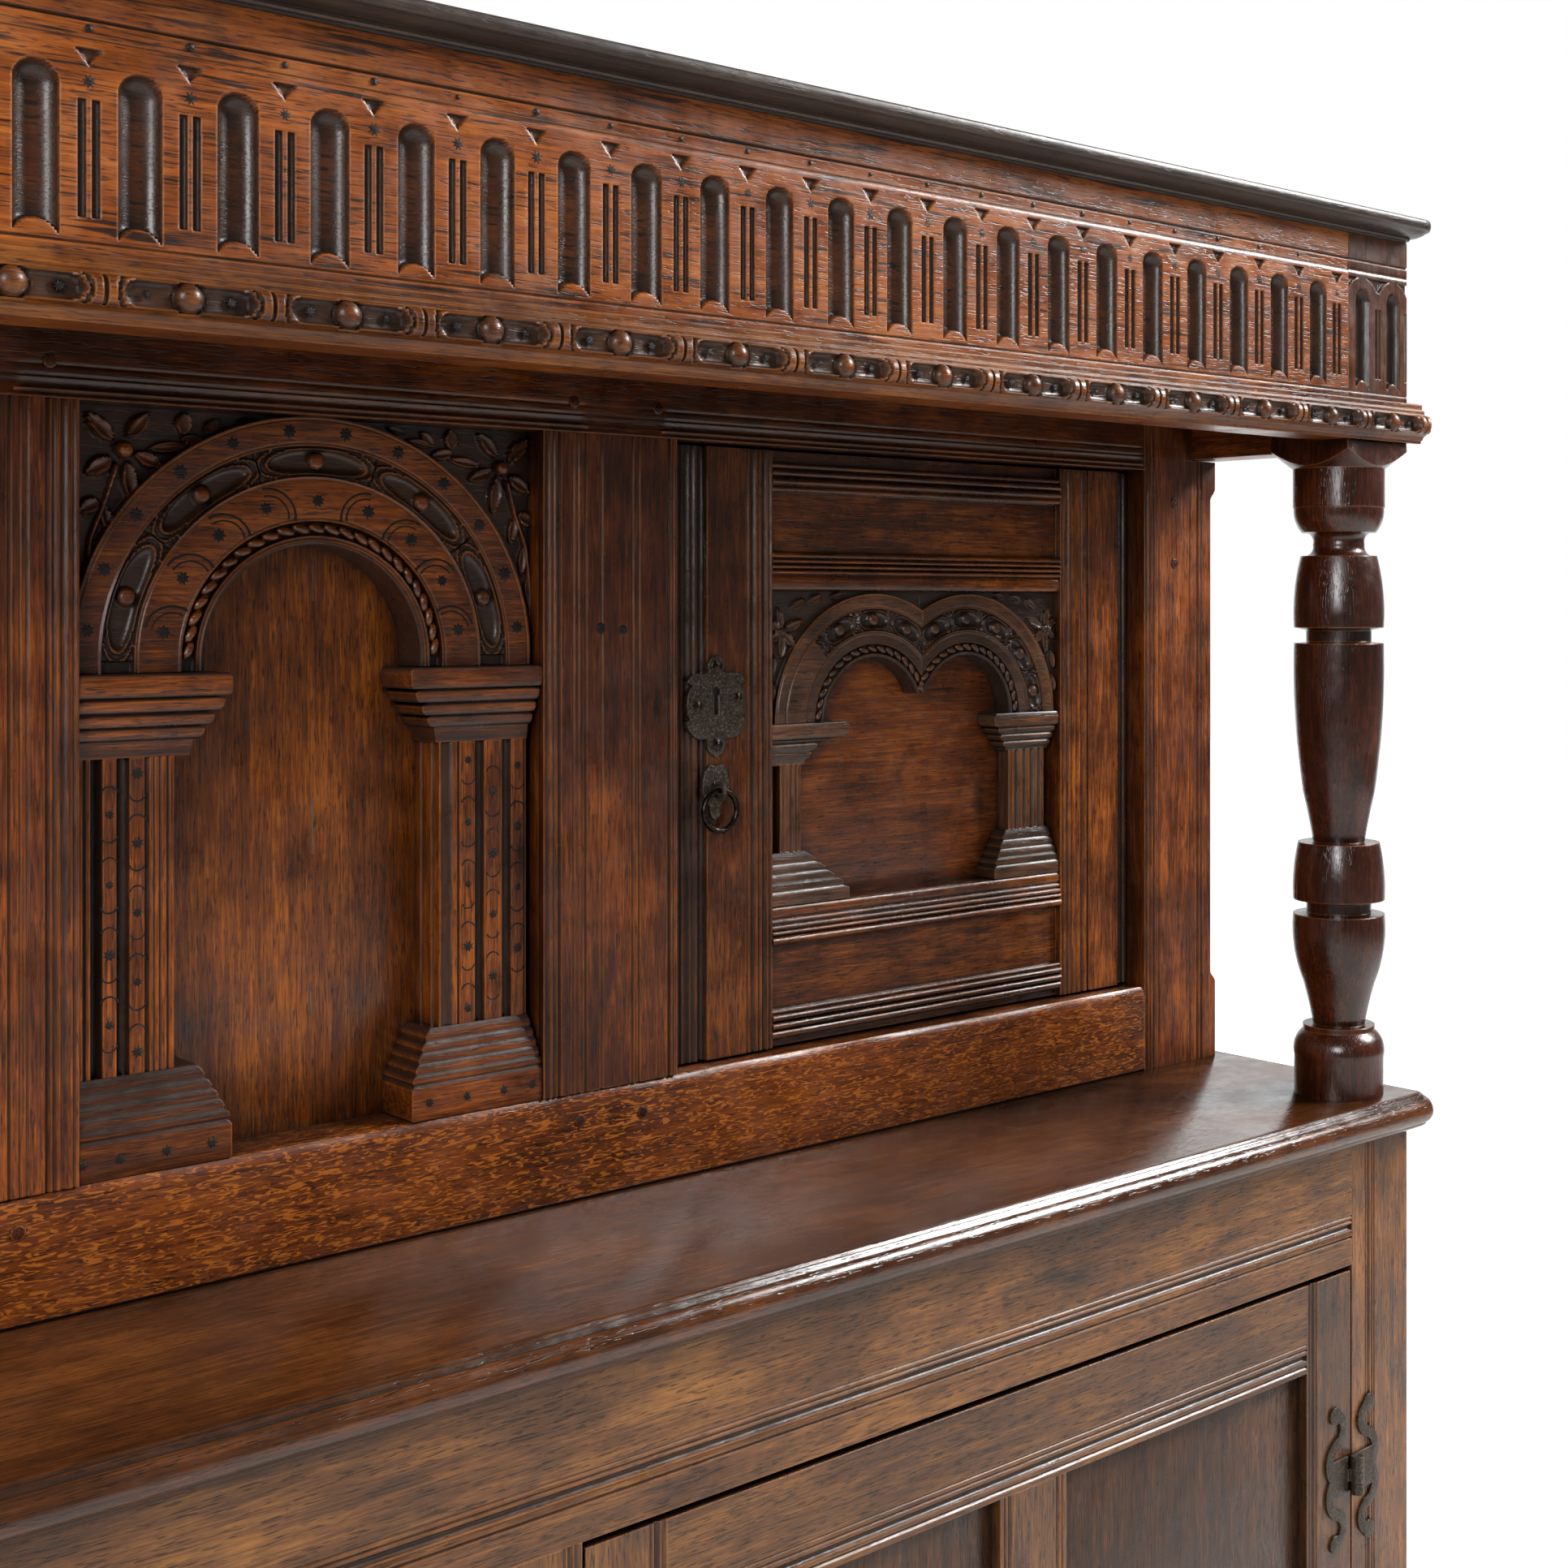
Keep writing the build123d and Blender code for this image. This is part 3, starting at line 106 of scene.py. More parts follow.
def laid_on(tree, colour, mask, share, hex_colour):
    """A colour with another laid on it where the mask is white, as thick as the share."""
    amount = add(tree, "Math", {"operation": "MULTIPLY"}, {0: mask, 1: share})
    return add(tree, "Mix", {"data_type": "RGBA"}, {0: amount, 6: colour, 7: linear(hex_colour)})


def eased_edges(tree, radius):
    """The normal eased over the edges by a radius in mm, and how near it is to the true one."""
    eased = add(tree, "Bevel", {"samples": 4}, {"Radius": radius * MM})
    true_normal = add(tree, "NewGeometry").outputs["Normal"]
    return eased, add(tree, "VectorMath", {"operation": "DOT_PRODUCT"}, {0: eased, 1: true_normal})


def dented(tree, normal, layers):
    """The normal dented by layers of (strength, depth in mm, height)."""
    for strength, depth, height in layers:
        normal = add(tree, "Bump", None, {"Strength": strength, "Distance": depth * MM,
                                          "Height": height, "Normal": normal})
    return normal


def waxed_oak(name, along, dark, mid, light, rough, flecks=0.0, wear=1.0, gloss=0.4, dents=1.0,
              streaks=0.3, stained=0.6):
    """Riven oak under centuries of wax: along is the grain's axis; dark, mid and light are the
    wax, the wood and the worn wood. Fibres and open pores run with the grain, the corners are
    blackened by old wax and painted shade, the colour is darkened by painted shade where little
    light reaches, and the arrises are rubbed lighter."""
    material, tree = new_material(name)
    place = add(tree, "TexCoord").outputs["Object"]
    board = add(tree, "Attribute", {"attribute_name": "board"}).outputs["Fac"]
    own_place = add(tree, "VectorMath", {"operation": "ADD"}, {0: place, 1: board})

    # the board's own place, drawn out so many times along the grain
    drawn_out = {times: add(tree, "Mapping", None, {
        "Vector": own_place, "Scale": [1.0 / times if axis == along else 1.0 for axis in range(3)]})
        for times in (10.0, 12.0, 22.0, 24.0)}
    # the patterns: place, size in mm, detail, roughness and distortion; pores are drawn coarser
    # than oak's, which would be too fine to show
    patterns = {
        "figure": (drawn_out[12.0], 8.0, 4.0, 0.62, 0.8),
        "fibre": (drawn_out[22.0], 1.2, 3.0, 0.65, 0.0),
        "pores": (drawn_out[10.0], 1.0, 1.5, 0.5, 0.0),
        "streaks": (drawn_out[24.0], 2.4, 2.0, 0.5, 0.0),
        "patina": (own_place, 120.0, 5.0, 0.66, 0.0),
        "stains": (own_place, 46.0, 4.0, 0.65, 0.0),
        "sheen": (own_place, 30.0, 3.0, 0.6, 0.0),
        "hand": (own_place, 26.0, 2.0, 0.5, 0.0)}
    if flecks:
        ray_place = add(tree, "Mapping", None, {
            "Vector": drawn_out[22.0], "Rotation": (0.0, 0.35, 0.0),
            "Scale": (4.5, 1.0, 1.0) if along == 0 else (1.0, 1.0, 4.5)})
        patterns["rays"] = (ray_place, 2.3, 1.0, 0.4, 1.8)
    patterns = {pattern: add(tree, "TexNoise", None, {
        "Vector": vector, "Scale": 1.0 / (size * MM), "Detail": detail,
        "Roughness": roughness, "Distortion": distortion})
        for pattern, (vector, size, detail, roughness, distortion) in patterns.items()}

    # where each pattern shows, from (position, level) to (position, level)
    shown = {mask: add(tree, "ValToRGB", None, {"Fac": patterns[pattern]}, stops)
             for mask, pattern, stops in (
                 ("figure", "figure", ((0.28, 0.0), (0.72, 1.0))),
                 ("fibre", "fibre", ((0.28, 0.0), (0.74, 1.0))),
                 ("patina", "patina", ((0.30, 0.0), (0.68, 1.0))),
                 ("pores", "pores", ((0.33, 1.0), (0.42, 0.0))),
                 ("stains", "stains", ((0.56, 0.0), (0.76, stained))),
                 ("streaks", "streaks", ((0.58, 0.0), (0.66, 1.0))),
                 ("rays", "rays", ((0.55, 0.0), (0.62, 1.0))),
                 ("unrubbed", "stains", ((0.30, 1.0), (0.62, 0.25))))
             if pattern in patterns}
    tone = shown["figure"]
    for share, layer in ((0.55, "fibre"), (0.36, "patina")):
        tone = add(tree, "Mix", {"data_type": "RGBA"}, {0: share, 6: tone, 7: shown[layer]})
    colour = add(tree, "ValToRGB", None, {"Fac": tone}, ((0.18, dark), (0.50, mid), (0.84, light)))
    board_tone = add(tree, "ValToRGB", None, {"Fac": board}, ((0.0, 0.58), (1.0, 1.2)))
    colour = add(tree, "Mix", {"data_type": "RGBA", "blend_type": "MULTIPLY"},
                 {0: 1.0, 6: colour, 7: board_tone})
    for layer, share, hex_colour in (("pores", 0.72, "#170c07"), ("stains", 1.0, "#170c06"),
                                     ("streaks", streaks, "#120905"), ("rays", flecks, "#b5661c")):
        if share:
            colour = laid_on(tree, colour, shown[layer], share, hex_colour)

    # black wax and painted shade in the corners, painted shade where little light reaches, worn
    # arrises
    corners, painted_shade = [
        add(tree, "ValToRGB", None, {"Fac": add(
            tree, "AmbientOcclusion", {"samples": 4, "only_local": False},
            {"Distance": distance * MM}).outputs["AO"]}, stops)
        for distance, stops in ((9.0, ((0.15, 1.0), (0.70, 0.0))),
                                (60.0, ((0.30, 0.42), (0.82, 1.0))))]
    colour = add(tree, "Mix", {"data_type": "RGBA", "blend_type": "MULTIPLY"},
                 {0: 1.0, 6: colour, 7: painted_shade})
    # the wax attribute holds old wax and painted shade in the carving's recesses
    wax = add(tree, "Attribute", {"attribute_name": "wax"}).outputs["Fac"]
    eased, nearness = eased_edges(tree, 1.6)
    arris = add(tree, "ValToRGB", None, {"Fac": nearness}, ((0.86, 1.0), (0.995, 0.0)))
    covered = add(tree, "Math", {"operation": "MAXIMUM"}, {0: corners, 1: wax})
    bare = add(tree, "Math", {"operation": "SUBTRACT"}, {0: 1.0, 1: covered})
    rub = add(tree, "Math", {"operation": "MULTIPLY"}, {0: arris, 1: bare})
    rub = add(tree, "Math", {"operation": "MULTIPLY"}, {0: rub, 1: shown["unrubbed"]})
    for mask, share, hex_colour in ((rub, 0.8 * wear, "#b86c28"), (wax, 0.92, "#231a15"),
                                    (corners, 0.93, "#0a0605")):
        colour = laid_on(tree, colour, mask, share, hex_colour)

    sheen = add(tree, "MapRange", None, {
        "Value": patterns["sheen"], "From Min": 0.3, "From Max": 0.7, "To Min": rough - 0.09,
        "To Max": rough + 0.13})
    open_pores = add(tree, "Math", {"operation": "MULTIPLY"}, {0: shown["pores"], 1: 0.9})
    grain_height = add(tree, "Math", {"operation": "SUBTRACT"},
                       {0: patterns["fibre"], 1: open_pores})
    normal = dented(tree, eased, ((0.32, 0.35, grain_height), (0.35 * dents, 2.2,
                                                              patterns["hand"])))
    surface(tree, {"Base Color": colour, "Roughness": sheen, "Normal": normal,
                   "Specular IOR Level": gloss, "Coat Weight": 0.4 * gloss,
                   "Coat Roughness": 0.16})
    return material


def wrought_iron(name, low, middle, high, smoothest, roughest, metallic):
    """Hammered wrought iron under old wax, with specks of it in the hollows and rubbed edges."""
    material, tree = new_material(name)
    place = add(tree, "TexCoord").outputs["Object"]
    hammer, scale = [
        add(tree, "TexNoise", None, {"Vector": place, "Scale": 1.0 / (size * MM),
                                     "Detail": detail, "Roughness": roughness})
        for size, detail, roughness in ((7.0, 2.0, 0.5), (1.4, 4.0, 0.6))]
    eased, nearness = eased_edges(tree, 0.8)
    rubbed = add(tree, "ValToRGB", None, {"Fac": nearness}, ((0.90, 0.8), (0.995, 0.0)))
    colour = add(tree, "ValToRGB", None, {"Fac": scale},
                 ((0.30, low), (0.55, middle), (0.72, high)))
    polish = add(tree, "ValToRGB", None, {"Fac": scale}, ((0.3, smoothest), (0.7, roughest)))
    surface(tree, {"Base Color": laid_on(tree, colour, rubbed, 1.0, "#6b5d52"),
                   "Roughness": polish, "Metallic": metallic,
                   "Normal": dented(tree, eased, ((0.6, 0.8, hammer), (0.4, 0.25, scale)))})
    return material


def oak_set(name, dark, mid, light, rough, **more):
    """The same oak with its grain along X, Y and Z."""
    return [waxed_oak(f"{name} grain {axis}", i, dark, mid, light, rough, **more)
            for i, axis in enumerate("XYZ")]


# Riven and planed oak, waxed: a warm brown with dark pores and a soft sheen.
OAK = oak_set("Waxed oak frame", "#1a0b04", "#5a280a", "#a05210", 0.34)
# Quarter-sawn oak: its medullary rays cross the grain as bright ragged flecks.
OAK_RAIL = oak_set("Waxed quartered oak rail", "#241005", "#5e2b0b", "#86430f", 0.32, flecks=0.6,
                   stained=0.3)
# The frieze stands in the light: its wax is thin, so it is redder, with dark streaks of grain.
OAK_FRIEZE = oak_set("Waxed oak frieze", "#361906", "#86420f", "#b5661c", 0.33, streaks=0.9)
# Mouldings: planed oak under a redder wax, a little duller than the frame's.
OAK_MOULDING = oak_set("Waxed oak moulding", "#241007", "#683610", "#a3601f", 0.33, gloss=0.34)
# Carved oak: handled and dusted, so bright on what stands proud and black in the ground.
OAK_CARVED = oak_set("Waxed carved oak", "#1a0b04", "#662f08", "#b05c10", 0.33)
# Carving set deep in the doors: darker and greyer, for dust in its wax and as painted shade.
OAK_DUSTY_SHADED = oak_set("Dusty carved oak", "#1b120c", "#52331f", "#8a542b", 0.34)
# The doors are handled most, and gleam a little more than the frame.
OAK_DOOR = oak_set("Waxed oak door", "#170a04", "#582909", "#a45710", 0.27)
# Ropes stand proudest, so their beads are rubbed pale and shiny.
OAK_ROPE = oak_set("Rubbed oak rope", "#361806", "#86420f", "#bb6f24", 0.17, gloss=0.5)
# Panels are planed smooth: few tool dents, a golden middle and a calm grain.
OAK_PANEL = oak_set("Waxed oak panel", "#1f0e04", "#6c3407", "#b0610d", 0.30, dents=0.5,
                    streaks=0.15)
# The doors' panels are the same with more dark stains.
OAK_DOOR_PANEL = oak_set("Waxed oak door panel", "#1a0b04", "#632e0a", "#9e5410", 0.28, dents=0.5,
                         streaks=0.1, stained=0.85)
# Turned oak, polished on the lathe: dark, red and glossy, with long highlights.
OAK_DARK = oak_set("Polished dark oak", "#180904", "#451d0c", "#773812", 0.20, gloss=0.5,
                   dents=0.6)
# The ledge is rubbed by every hand, and mirrors what stands over it.
OAK_LEDGE = oak_set("Polished oak ledge", "#1f1008", "#4a2710", "#744119", 0.14, gloss=0.5,
                    dents=0.4, streaks=0.15, stained=0.15)
# The cornice is out of reach: its wax is dull and grey with dust.
OAK_CORNICE = oak_set("Dusty dark oak cornice", "#17100b", "#35251b", "#5d4331", 0.42, wear=0.7)
# The lower stage's oak is paler and browner than the upper one's, and its panels greyer.
OAK_LOWER = oak_set("Waxed oak lower frame", "#24150b", "#6b4220", "#a26b2f", 0.30, streaks=0.2,
                    stained=0.4)
OAK_LOWER_PANEL = oak_set("Waxed oak lower panel", "#1a0f09", "#472b18", "#744824", 0.30,
                          stained=0.3)
# Sawn boards, never waxed: pale, grey and matt.
OAK_BACK = oak_set("Plain oak boards", "#3a281b", "#5f452f", "#836547", 0.62, wear=0.3)
# Wrought iron, hammered and waxed: dark and mottled with scale. Rings and rivets are rubbed to
# barer metal, which is smoother and mirrors more.
IRON = wrought_iron("Waxed wrought iron", "#1b1613", "#40362e", "#78684f", 0.28, 0.5, 0.5)
RUBBED_IRON = wrought_iron("Rubbed wrought iron", "#1a1512", "#2d2521", "#4a3f37", 0.16, 0.36, 0.9)
# Old wax and soot that fills a punch mark: nearly black, with a dull shine. The same black is painted
# shade in the open peg holes and the keyholes.
BLACK_WAX_AND_HOLE_SHADE = waxed_oak("Black wax in punch marks and painted shade in holes", 0, "#0c0705", "#1a120d", "#2b1f18", 0.34,
                      wear=0.0, dents=0.2)
# Dust packed in a crack: grey and matt.
DUST = waxed_oak("Dust in a shake", 2, "#51473e", "#6f6459", "#8a7f73", 0.5, wear=0.0)


# ------------------------------------------------------------------ meshes
def keep(mesh, name, body, materials, slot, *nodes):
    """Makes a finished mesh a piece of the cupboard on its body."""
    for material in materials:
        mesh.materials.append(material)
    piece = bpy.data.objects.new(name, mesh)
    bpy.context.scene.collection.objects.link(piece)
    if nodes:
        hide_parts(*nodes)
    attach(piece, body)
    return piece


def smooth_by_angle(mesh_edit, degrees):
    """Smooth faces, with edges sharper than the angle kept sharp."""
    for face in mesh_edit.faces:
        face.smooth = True
    for edge in mesh_edit.edges:
        edge.smooth = (len(edge.link_faces) == 2
                       and edge.calc_face_angle(0.0) < math.radians(degrees))


def boards_of(mesh_edit):
    """The separate boards of a mesh, as lists of faces."""
    seen = set()
    boards = []
    for start in mesh_edit.faces:
        if start.index in seen:
            continue
        seen.add(start.index)
        stack = [start]
        board = []
        while stack:
            face = stack.pop()
            board.append(face)
            for edge in face.edges:
                for other in edge.link_faces:
                    if other.index not in seen:
                        seen.add(other.index)
                        stack.append(other)
        boards.append(board)
    return boards


def marked_boards(mesh_edit):
    """Sets each board's grain by its longest side, and a number that is its own."""
    mesh_edit.faces.ensure_lookup_table()
    mesh_edit.faces.index_update()
    number = mesh_edit.faces.layers.float.new("board")
    for board in boards_of(mesh_edit):
        points = [vert.co for face in board for vert in face.verts]
        low = [min(p[i] for p in points) for i in range(3)]
        high = [max(p[i] for p in points) for i in range(3)]
        sides = [high[i] - low[i] for i in range(3)]
        own = (math.sin(sum((low[i] + high[i]) * (91.7, 37.3, 63.1)[i] for i in range(3)))
               * 43758.5453) % 1.0
        for face in board:
            face.material_index = sides.index(max(sides))
            face[number] = own


def finished(mesh_edit, name):
    """The plain mesh that an edit ends in."""
    mesh = bpy.data.meshes.new(name)
    mesh_edit.to_mesh(mesh)
    mesh_edit.free()
    return mesh


def dress(node, body, materials, slot, arris=0.7, angle=32.0, grain=None, drop=None,
          shape=None):
    """A node's own solids, with eased arrises and each board's grain. Solids that drop(low, high)
    names are left out, and shape(place) may move a vertex; both are in mm."""
    mesh_edit = bmesh.new()
    mesh_edit.from_mesh(frame["nodes"][node].data)
    for layer in list(mesh_edit.loops.layers.uv.values()):
        mesh_edit.loops.layers.uv.remove(layer)
    bmesh.ops.remove_doubles(mesh_edit, verts=mesh_edit.verts, dist=2e-6)
    if drop:
        mesh_edit.faces.index_update()
        for board in boards_of(mesh_edit):
            points = [vert.co / MM for face in board for vert in face.verts]
            low = [min(p[i] for p in points) for i in range(3)]
            high = [max(p[i] for p in points) for i in range(3)]
            if drop(low, high):
                bmesh.ops.delete(mesh_edit, geom=board, context="FACES")
    if shape:
        for vert in mesh_edit.verts:
            vert.co = Vector(shape(vert.co / MM)) * MM
    bmesh.ops.dissolve_limit(mesh_edit, angle_limit=math.radians(0.5), verts=mesh_edit.verts,
                             edges=mesh_edit.edges)
    marked_boards(mesh_edit)
    if arris:
        edges = [e for e in mesh_edit.edges if len(e.link_faces) == 2
                 and e.calc_face_angle(0.0) > math.radians(angle)]
        bmesh.ops.bevel(mesh_edit, geom=edges, offset=arris * MM, segments=2, profile=0.6,
                        affect="EDGES", clamp_overlap=True)
    smooth_by_angle(mesh_edit, 40)
    if grain is not None:
        for face in mesh_edit.faces:
            face.material_index = grain
    return keep(finished(mesh_edit, node), f"{node}.dressed", body, materials, slot, node)


BODY_OF = {node: body for body, nodes in frame["record"]["behaviour"]["bodies"].items()
           for node in nodes}
SLOT_OF = {s["node"]: s["material_slot"] for s in frame["record"]["subparts"]}


def finish_for(node):
    """The set of oak, or the iron, that a node is made of."""
    if SLOT_OF[node] == "iron":
        return [RUBBED_IRON if node.endswith("ring") else IRON] * 3
    if "column" in node:
        return OAK_DARK
    if node == "ledge_board":
        return OAK_LEDGE
    if node in ("upper_bottom_rail", "lower_top_rail"):
        return OAK_RAIL
    if SLOT_OF[node] == "oak_panel":
        if node.startswith("lower"):
            return OAK_LOWER_PANEL
        return OAK_DOOR_PANEL if "door" in node else OAK_PANEL
    if SLOT_OF[node] == "oak_board" and node != "upper_side_boards":
        return OAK_BACK
    if SLOT_OF[node] == "oak_carved":
        return OAK_CARVED
    return OAK_LOWER if node.startswith("lower") else OAK


# ------------------------------------------------------------------ carved surfaces
class Carving:
    """Points in mm with faces, the wax and painted shade lying on each point, and each face's grain.
    """

    def __init__(self, points, faces, wax, grain=0, own=0.5):
        self.points = np.asarray(points, float).reshape(-1, 3)
        self.faces = [tuple(face) for face in faces]
        self.wax = np.asarray(wax, float).reshape(-1)
        self.grain = [grain] * len(self.faces)
        self.own = [own] * len(self.faces)

    def __add__(self, other):
        """Both carvings as one, unwelded."""
        joined = Carving(np.vstack([self.points, other.points]), [], [])
        step = len(self.points)
        joined.faces = self.faces + [tuple(i + step for i in face) for face in other.faces]
        joined.wax = np.concatenate([self.wax, other.wax])
        joined.grain = self.grain + other.grain
        joined.own = self.own + other.own
        return joined

    def mirrored(self, about=0.0):
        """The same carving turned over in X, by default onto the cupboard's left side."""
        points = self.points * (-1, 1, 1) + (2 * about, 0, 0)
        turned = Carving(points, [face[::-1] for face in self.faces], self.wax)
        turned.grain = list(self.grain)
        turned.own = [(own + 0.37) % 1.0 for own in self.own]
        return turned

    def mesh(self, name, angle=38.0):
        """The carving as a mesh, with the boards' numbers and the wax, which also holds painted
        shade, as its attributes.
        """
        mesh = bpy.data.meshes.new(name)
        mesh.from_pydata((self.points * MM).tolist(), [], self.faces)
        mesh.polygons.foreach_set("material_index", self.grain)
        mesh.attributes.new("board", "FLOAT", "FACE").data.foreach_set("value", self.own)
        mesh.attributes.new("wax", "FLOAT", "POINT").data.foreach_set("value", self.wax)
        mesh_edit = bmesh.new()
        mesh_edit.from_mesh(mesh)
        smooth_by_angle(mesh_edit, angle)
        mesh_edit.to_mesh(mesh)
        mesh_edit.free()
        return mesh


def closed_sheet(x, y, z, y_back, wax, grain, own):
    """A carved sheet, rows upwards and columns to the right, closed by edges and a flat back."""
    rows, columns = x.shape
    index = np.arange(rows * columns).reshape(rows, columns)
    a, b = index[:-1, :-1].ravel(), index[:-1, 1:].ravel()
    c, d = index[1:, 1:].ravel(), index[1:, :-1].ravel()
    faces = np.stack([a, b, c, d], 1).tolist()
    rim = np.concatenate([index[0, :-1], index[:-1, -1], index[-1, :0:-1], index[:0:-1, 0]])
    front = np.stack([x.ravel(), y.ravel(), z.ravel()], 1)
    behind = front[rim].copy()
    behind[:, 1] = y_back
    first = rows * columns
    count = len(rim)
    for i in range(count):
        j = (i + 1) % count
        faces.append((int(rim[j]), int(rim[i]), first + i, first + j))
    faces.append(tuple(first + i for i in range(count))[::-1])
    # the sides darken towards the back: old wax and painted shade
    wax_all = np.concatenate([wax.ravel(), np.full(count, 0.7)])
    return Carving(np.vstack([front, behind]), faces, wax_all, grain, own)


def relief(xs, zs, depth, y_front, y_back, grain, own=0.5, wax=None):
    """A flat board whose face is cut down by depth(x, z), in mm."""
    x, z = np.meshgrid(xs, zs)
    cut = depth(x, z)
    wax_and_shade = wax(x, z, cut) if wax else settled_wax(cut)
    return closed_sheet(x, y_front + cut, z, y_back, wax_and_shade, grain, own)


def half_ring(centre_x, spring, radii, angles, depth, y_front, y_back, grain, own=0.5,
              wax=None):
    """An arch whose face is cut down by depth(radius, angle); angles run from left to right, and
    past the half turn they go straight down, 1 mm for each hundredth."""
    angle, radius = np.meshgrid(angles, radii) if np.ndim(angles) == 1 else (angles, radii)
    cut = depth(radius, angle)
    wax_and_shade = wax(radius, angle, cut) if wax else settled_wax(cut)
    bent = np.clip(angle, 0, math.pi)
    return closed_sheet(centre_x + radius * np.cos(bent), y_front + cut,
                        spring + radius * np.sin(bent) - 100 * np.abs(angle - bent), y_back, wax_and_shade,
                        grain, own)


def settled_wax(cut, full=3.5, most=0.8):
    """Darker the deeper a face is cut: old wax, and painted shade in the recess."""
    return most * np.clip(cut / full, 0, 1)


def step(edge0, edge1, value):
    """A smooth step from 0 to 1."""
    t = np.clip((value - edge0) / (edge1 - edge0), 0, 1)
    return t * t * (3 - 2 * t)


def groove(value, centre, width, depth):
    """A rounded scratch across value."""
    return depth * np.clip(1 - ((value - centre) / (width / 2)) ** 2, 0, 1) ** 0.5


def trench(value, low, high, depth, wall=0.5):
    """A square-cut channel."""
    return depth * step(low - wall / 2, low + wall / 2, value) \
        * (1 - step(high - wall / 2, high + wall / 2, value))


def hollow(distance, depth, power=2.2):
    """A gouged hollow, from 1 at its rim to 0 in its middle."""
    return depth * np.clip(1 - np.abs(distance) ** power, 0, 1) ** 0.6


def lines(value, cuts):
    """Scratched lines given as (centre, width, depth)."""
    cut = np.zeros_like(value)
    for centre, width, depth in cuts:
        cut = np.maximum(cut, groove(value, centre, width, depth))
    return cut


def spaced(low, high, pitch):
    """Even positions from low to high."""
    return np.linspace(low, high, max(2, int(round((high - low) / pitch)) + 1))


def member(low_x, high_x, low_z, high_z, y_front, y_back, cuts, grain, own=0.5, pitch=0.7,
           stops=None):
    """A frame member with scratched mouldings along its grain; stops is where they end."""
    upright = grain == 2
    across = spaced(*((low_x, high_x) if upright else (low_z, high_z)), pitch)
    run = (low_z, high_z) if upright else (low_x, high_x)
    along = np.array(sorted({*run, *(stop + shift for stop in stops or ()
                                     for shift in (-3.0, 3.0) if run[0] < stop + shift < run[1])}))

    def depth(x, z):
        value, place = (x, z) if upright else (z, x)
        cut = lines(value, cuts)
        if stops:
            keep_cut = np.zeros_like(place)
            for start, end in zip(stops[::2], stops[1::2]):
                keep_cut = np.maximum(keep_cut, step(start - 3, start + 3, place)
                                      * (1 - step(end - 3, end + 3, place)))
            cut = cut * keep_cut
        return cut

    xs, zs = (across, along) if upright else (along, across)
    return relief(xs, zs, depth, y_front, y_back, grain, own,
                  wax=lambda x, z, cut: settled_wax(cut, 2.0, 0.75))


def stack(profile, edge, foot, reach, y_foot, y_reach, y_back, z0, grain=0, own=0.5, inset=0.0):
    """A moulded block that a profile of (height, share of the projection) wraps on its front
    and its inner side, mitred between them; edge is its outer side, and inset how far that
    side stands in at the foot."""
    side = 1 if foot < edge else -1
    points = []
    for height, share in profile:
        x = foot + (reach - foot) * share
        y = y_foot + (y_reach - y_foot) * share
        outer = edge - side * inset * (1 - share)
        points += [(outer, y_back, z0 + height), (outer, y, z0 + height), (x, y, z0 + height),
                   (x, y_back, z0 + height)]
    faces = []
    for i in range(len(profile) - 1):
        for j in range(4):
            k = (j + 1) % 4
            faces.append((4 * i + j, 4 * i + k, 4 * i + 4 + k, 4 * i + 4 + j)[::-side])
    top = 4 * (len(profile) - 1)
    faces.append((3, 2, 1, 0)[::-side])
    faces.append((top, top + 1, top + 2, top + 3)[::-side])
    shares = [share for _, share in profile]
    beside = [max(shares[max(i - 1, 0)], shares[min(i + 1, len(shares) - 1)])
              for i in range(len(shares))]
    # steps under a projecting one are darkened: old wax and painted shade under the overhang
    wax = np.repeat([0.9 if next_to > own_share + 0.03 else 0.05
                     for own_share, next_to in zip(shares, beside)], 4)
    return Carving(points, faces, wax, grain, own)


def leaf(x, z, place, turn, length, width):
    """A raised leaf, dished inside its rim: its share of its full height over the ground."""
    dx, dz = x - place[0], z - place[1]
    along = np.clip((dx * math.cos(turn) + dz * math.sin(turn)) / length, 0, 1)
    across = np.abs(-dx * math.sin(turn) + dz * math.cos(turn)) / (width / 2)
    rim = across / (np.sin(math.pi * along ** 0.9) ** 0.75 + 1e-6)
    dish = 0.5 + 0.5 * np.clip(rim / 0.78, 0, 1) ** 2
    return np.where(rim < 0.78, dish, np.clip((1 - rim) / 0.22, 0, 1) ** 0.6)


def leaf_wax(share):
    """Wax and painted shade on carved leaves: black on the sunk ground, dark in the dish, rubbed off
    the rim.
    """
    return np.interp(share, [0.0, 0.3, 0.55, 0.8, 0.95], [0.9, 0.7, 0.55, 0.3, 0.05])


def pearl_and_ovals(s, t, half_length, half_height):
    """One unit of pearl and ovals: depth below the band at s along and t across its middle."""
    side = np.abs(s)
    oval = (side / (0.84 * half_length)) ** 3.2 + (t / (0.78 * half_height)) ** 2
    cut = np.where(oval < 1.22, 0.0, 0.24 * half_height)
    cut = np.where(oval < 1, 0.45 * half_height * np.clip(1 - oval ** 3, 0, 1) ** 0.7, cut)
    crescent = (oval > 1.6) & (oval < 2.05) & (side > 0.72 * half_length)
    cut = np.where(crescent, 0.04 * half_height, cut)
    ring = np.hypot(s, t)
    pearl = 0.6 * half_height
    cut = np.where(ring < pearl * 1.25, 0.46 * half_height, cut)
    cut = np.where(ring < pearl, half_height * (0.46 - 0.54 * np.sqrt(
        np.clip(1 - (ring / pearl) ** 2, 0, 1))), cut)
    return np.maximum(cut, groove(side, half_length, 1.2, 0.4 * half_height))


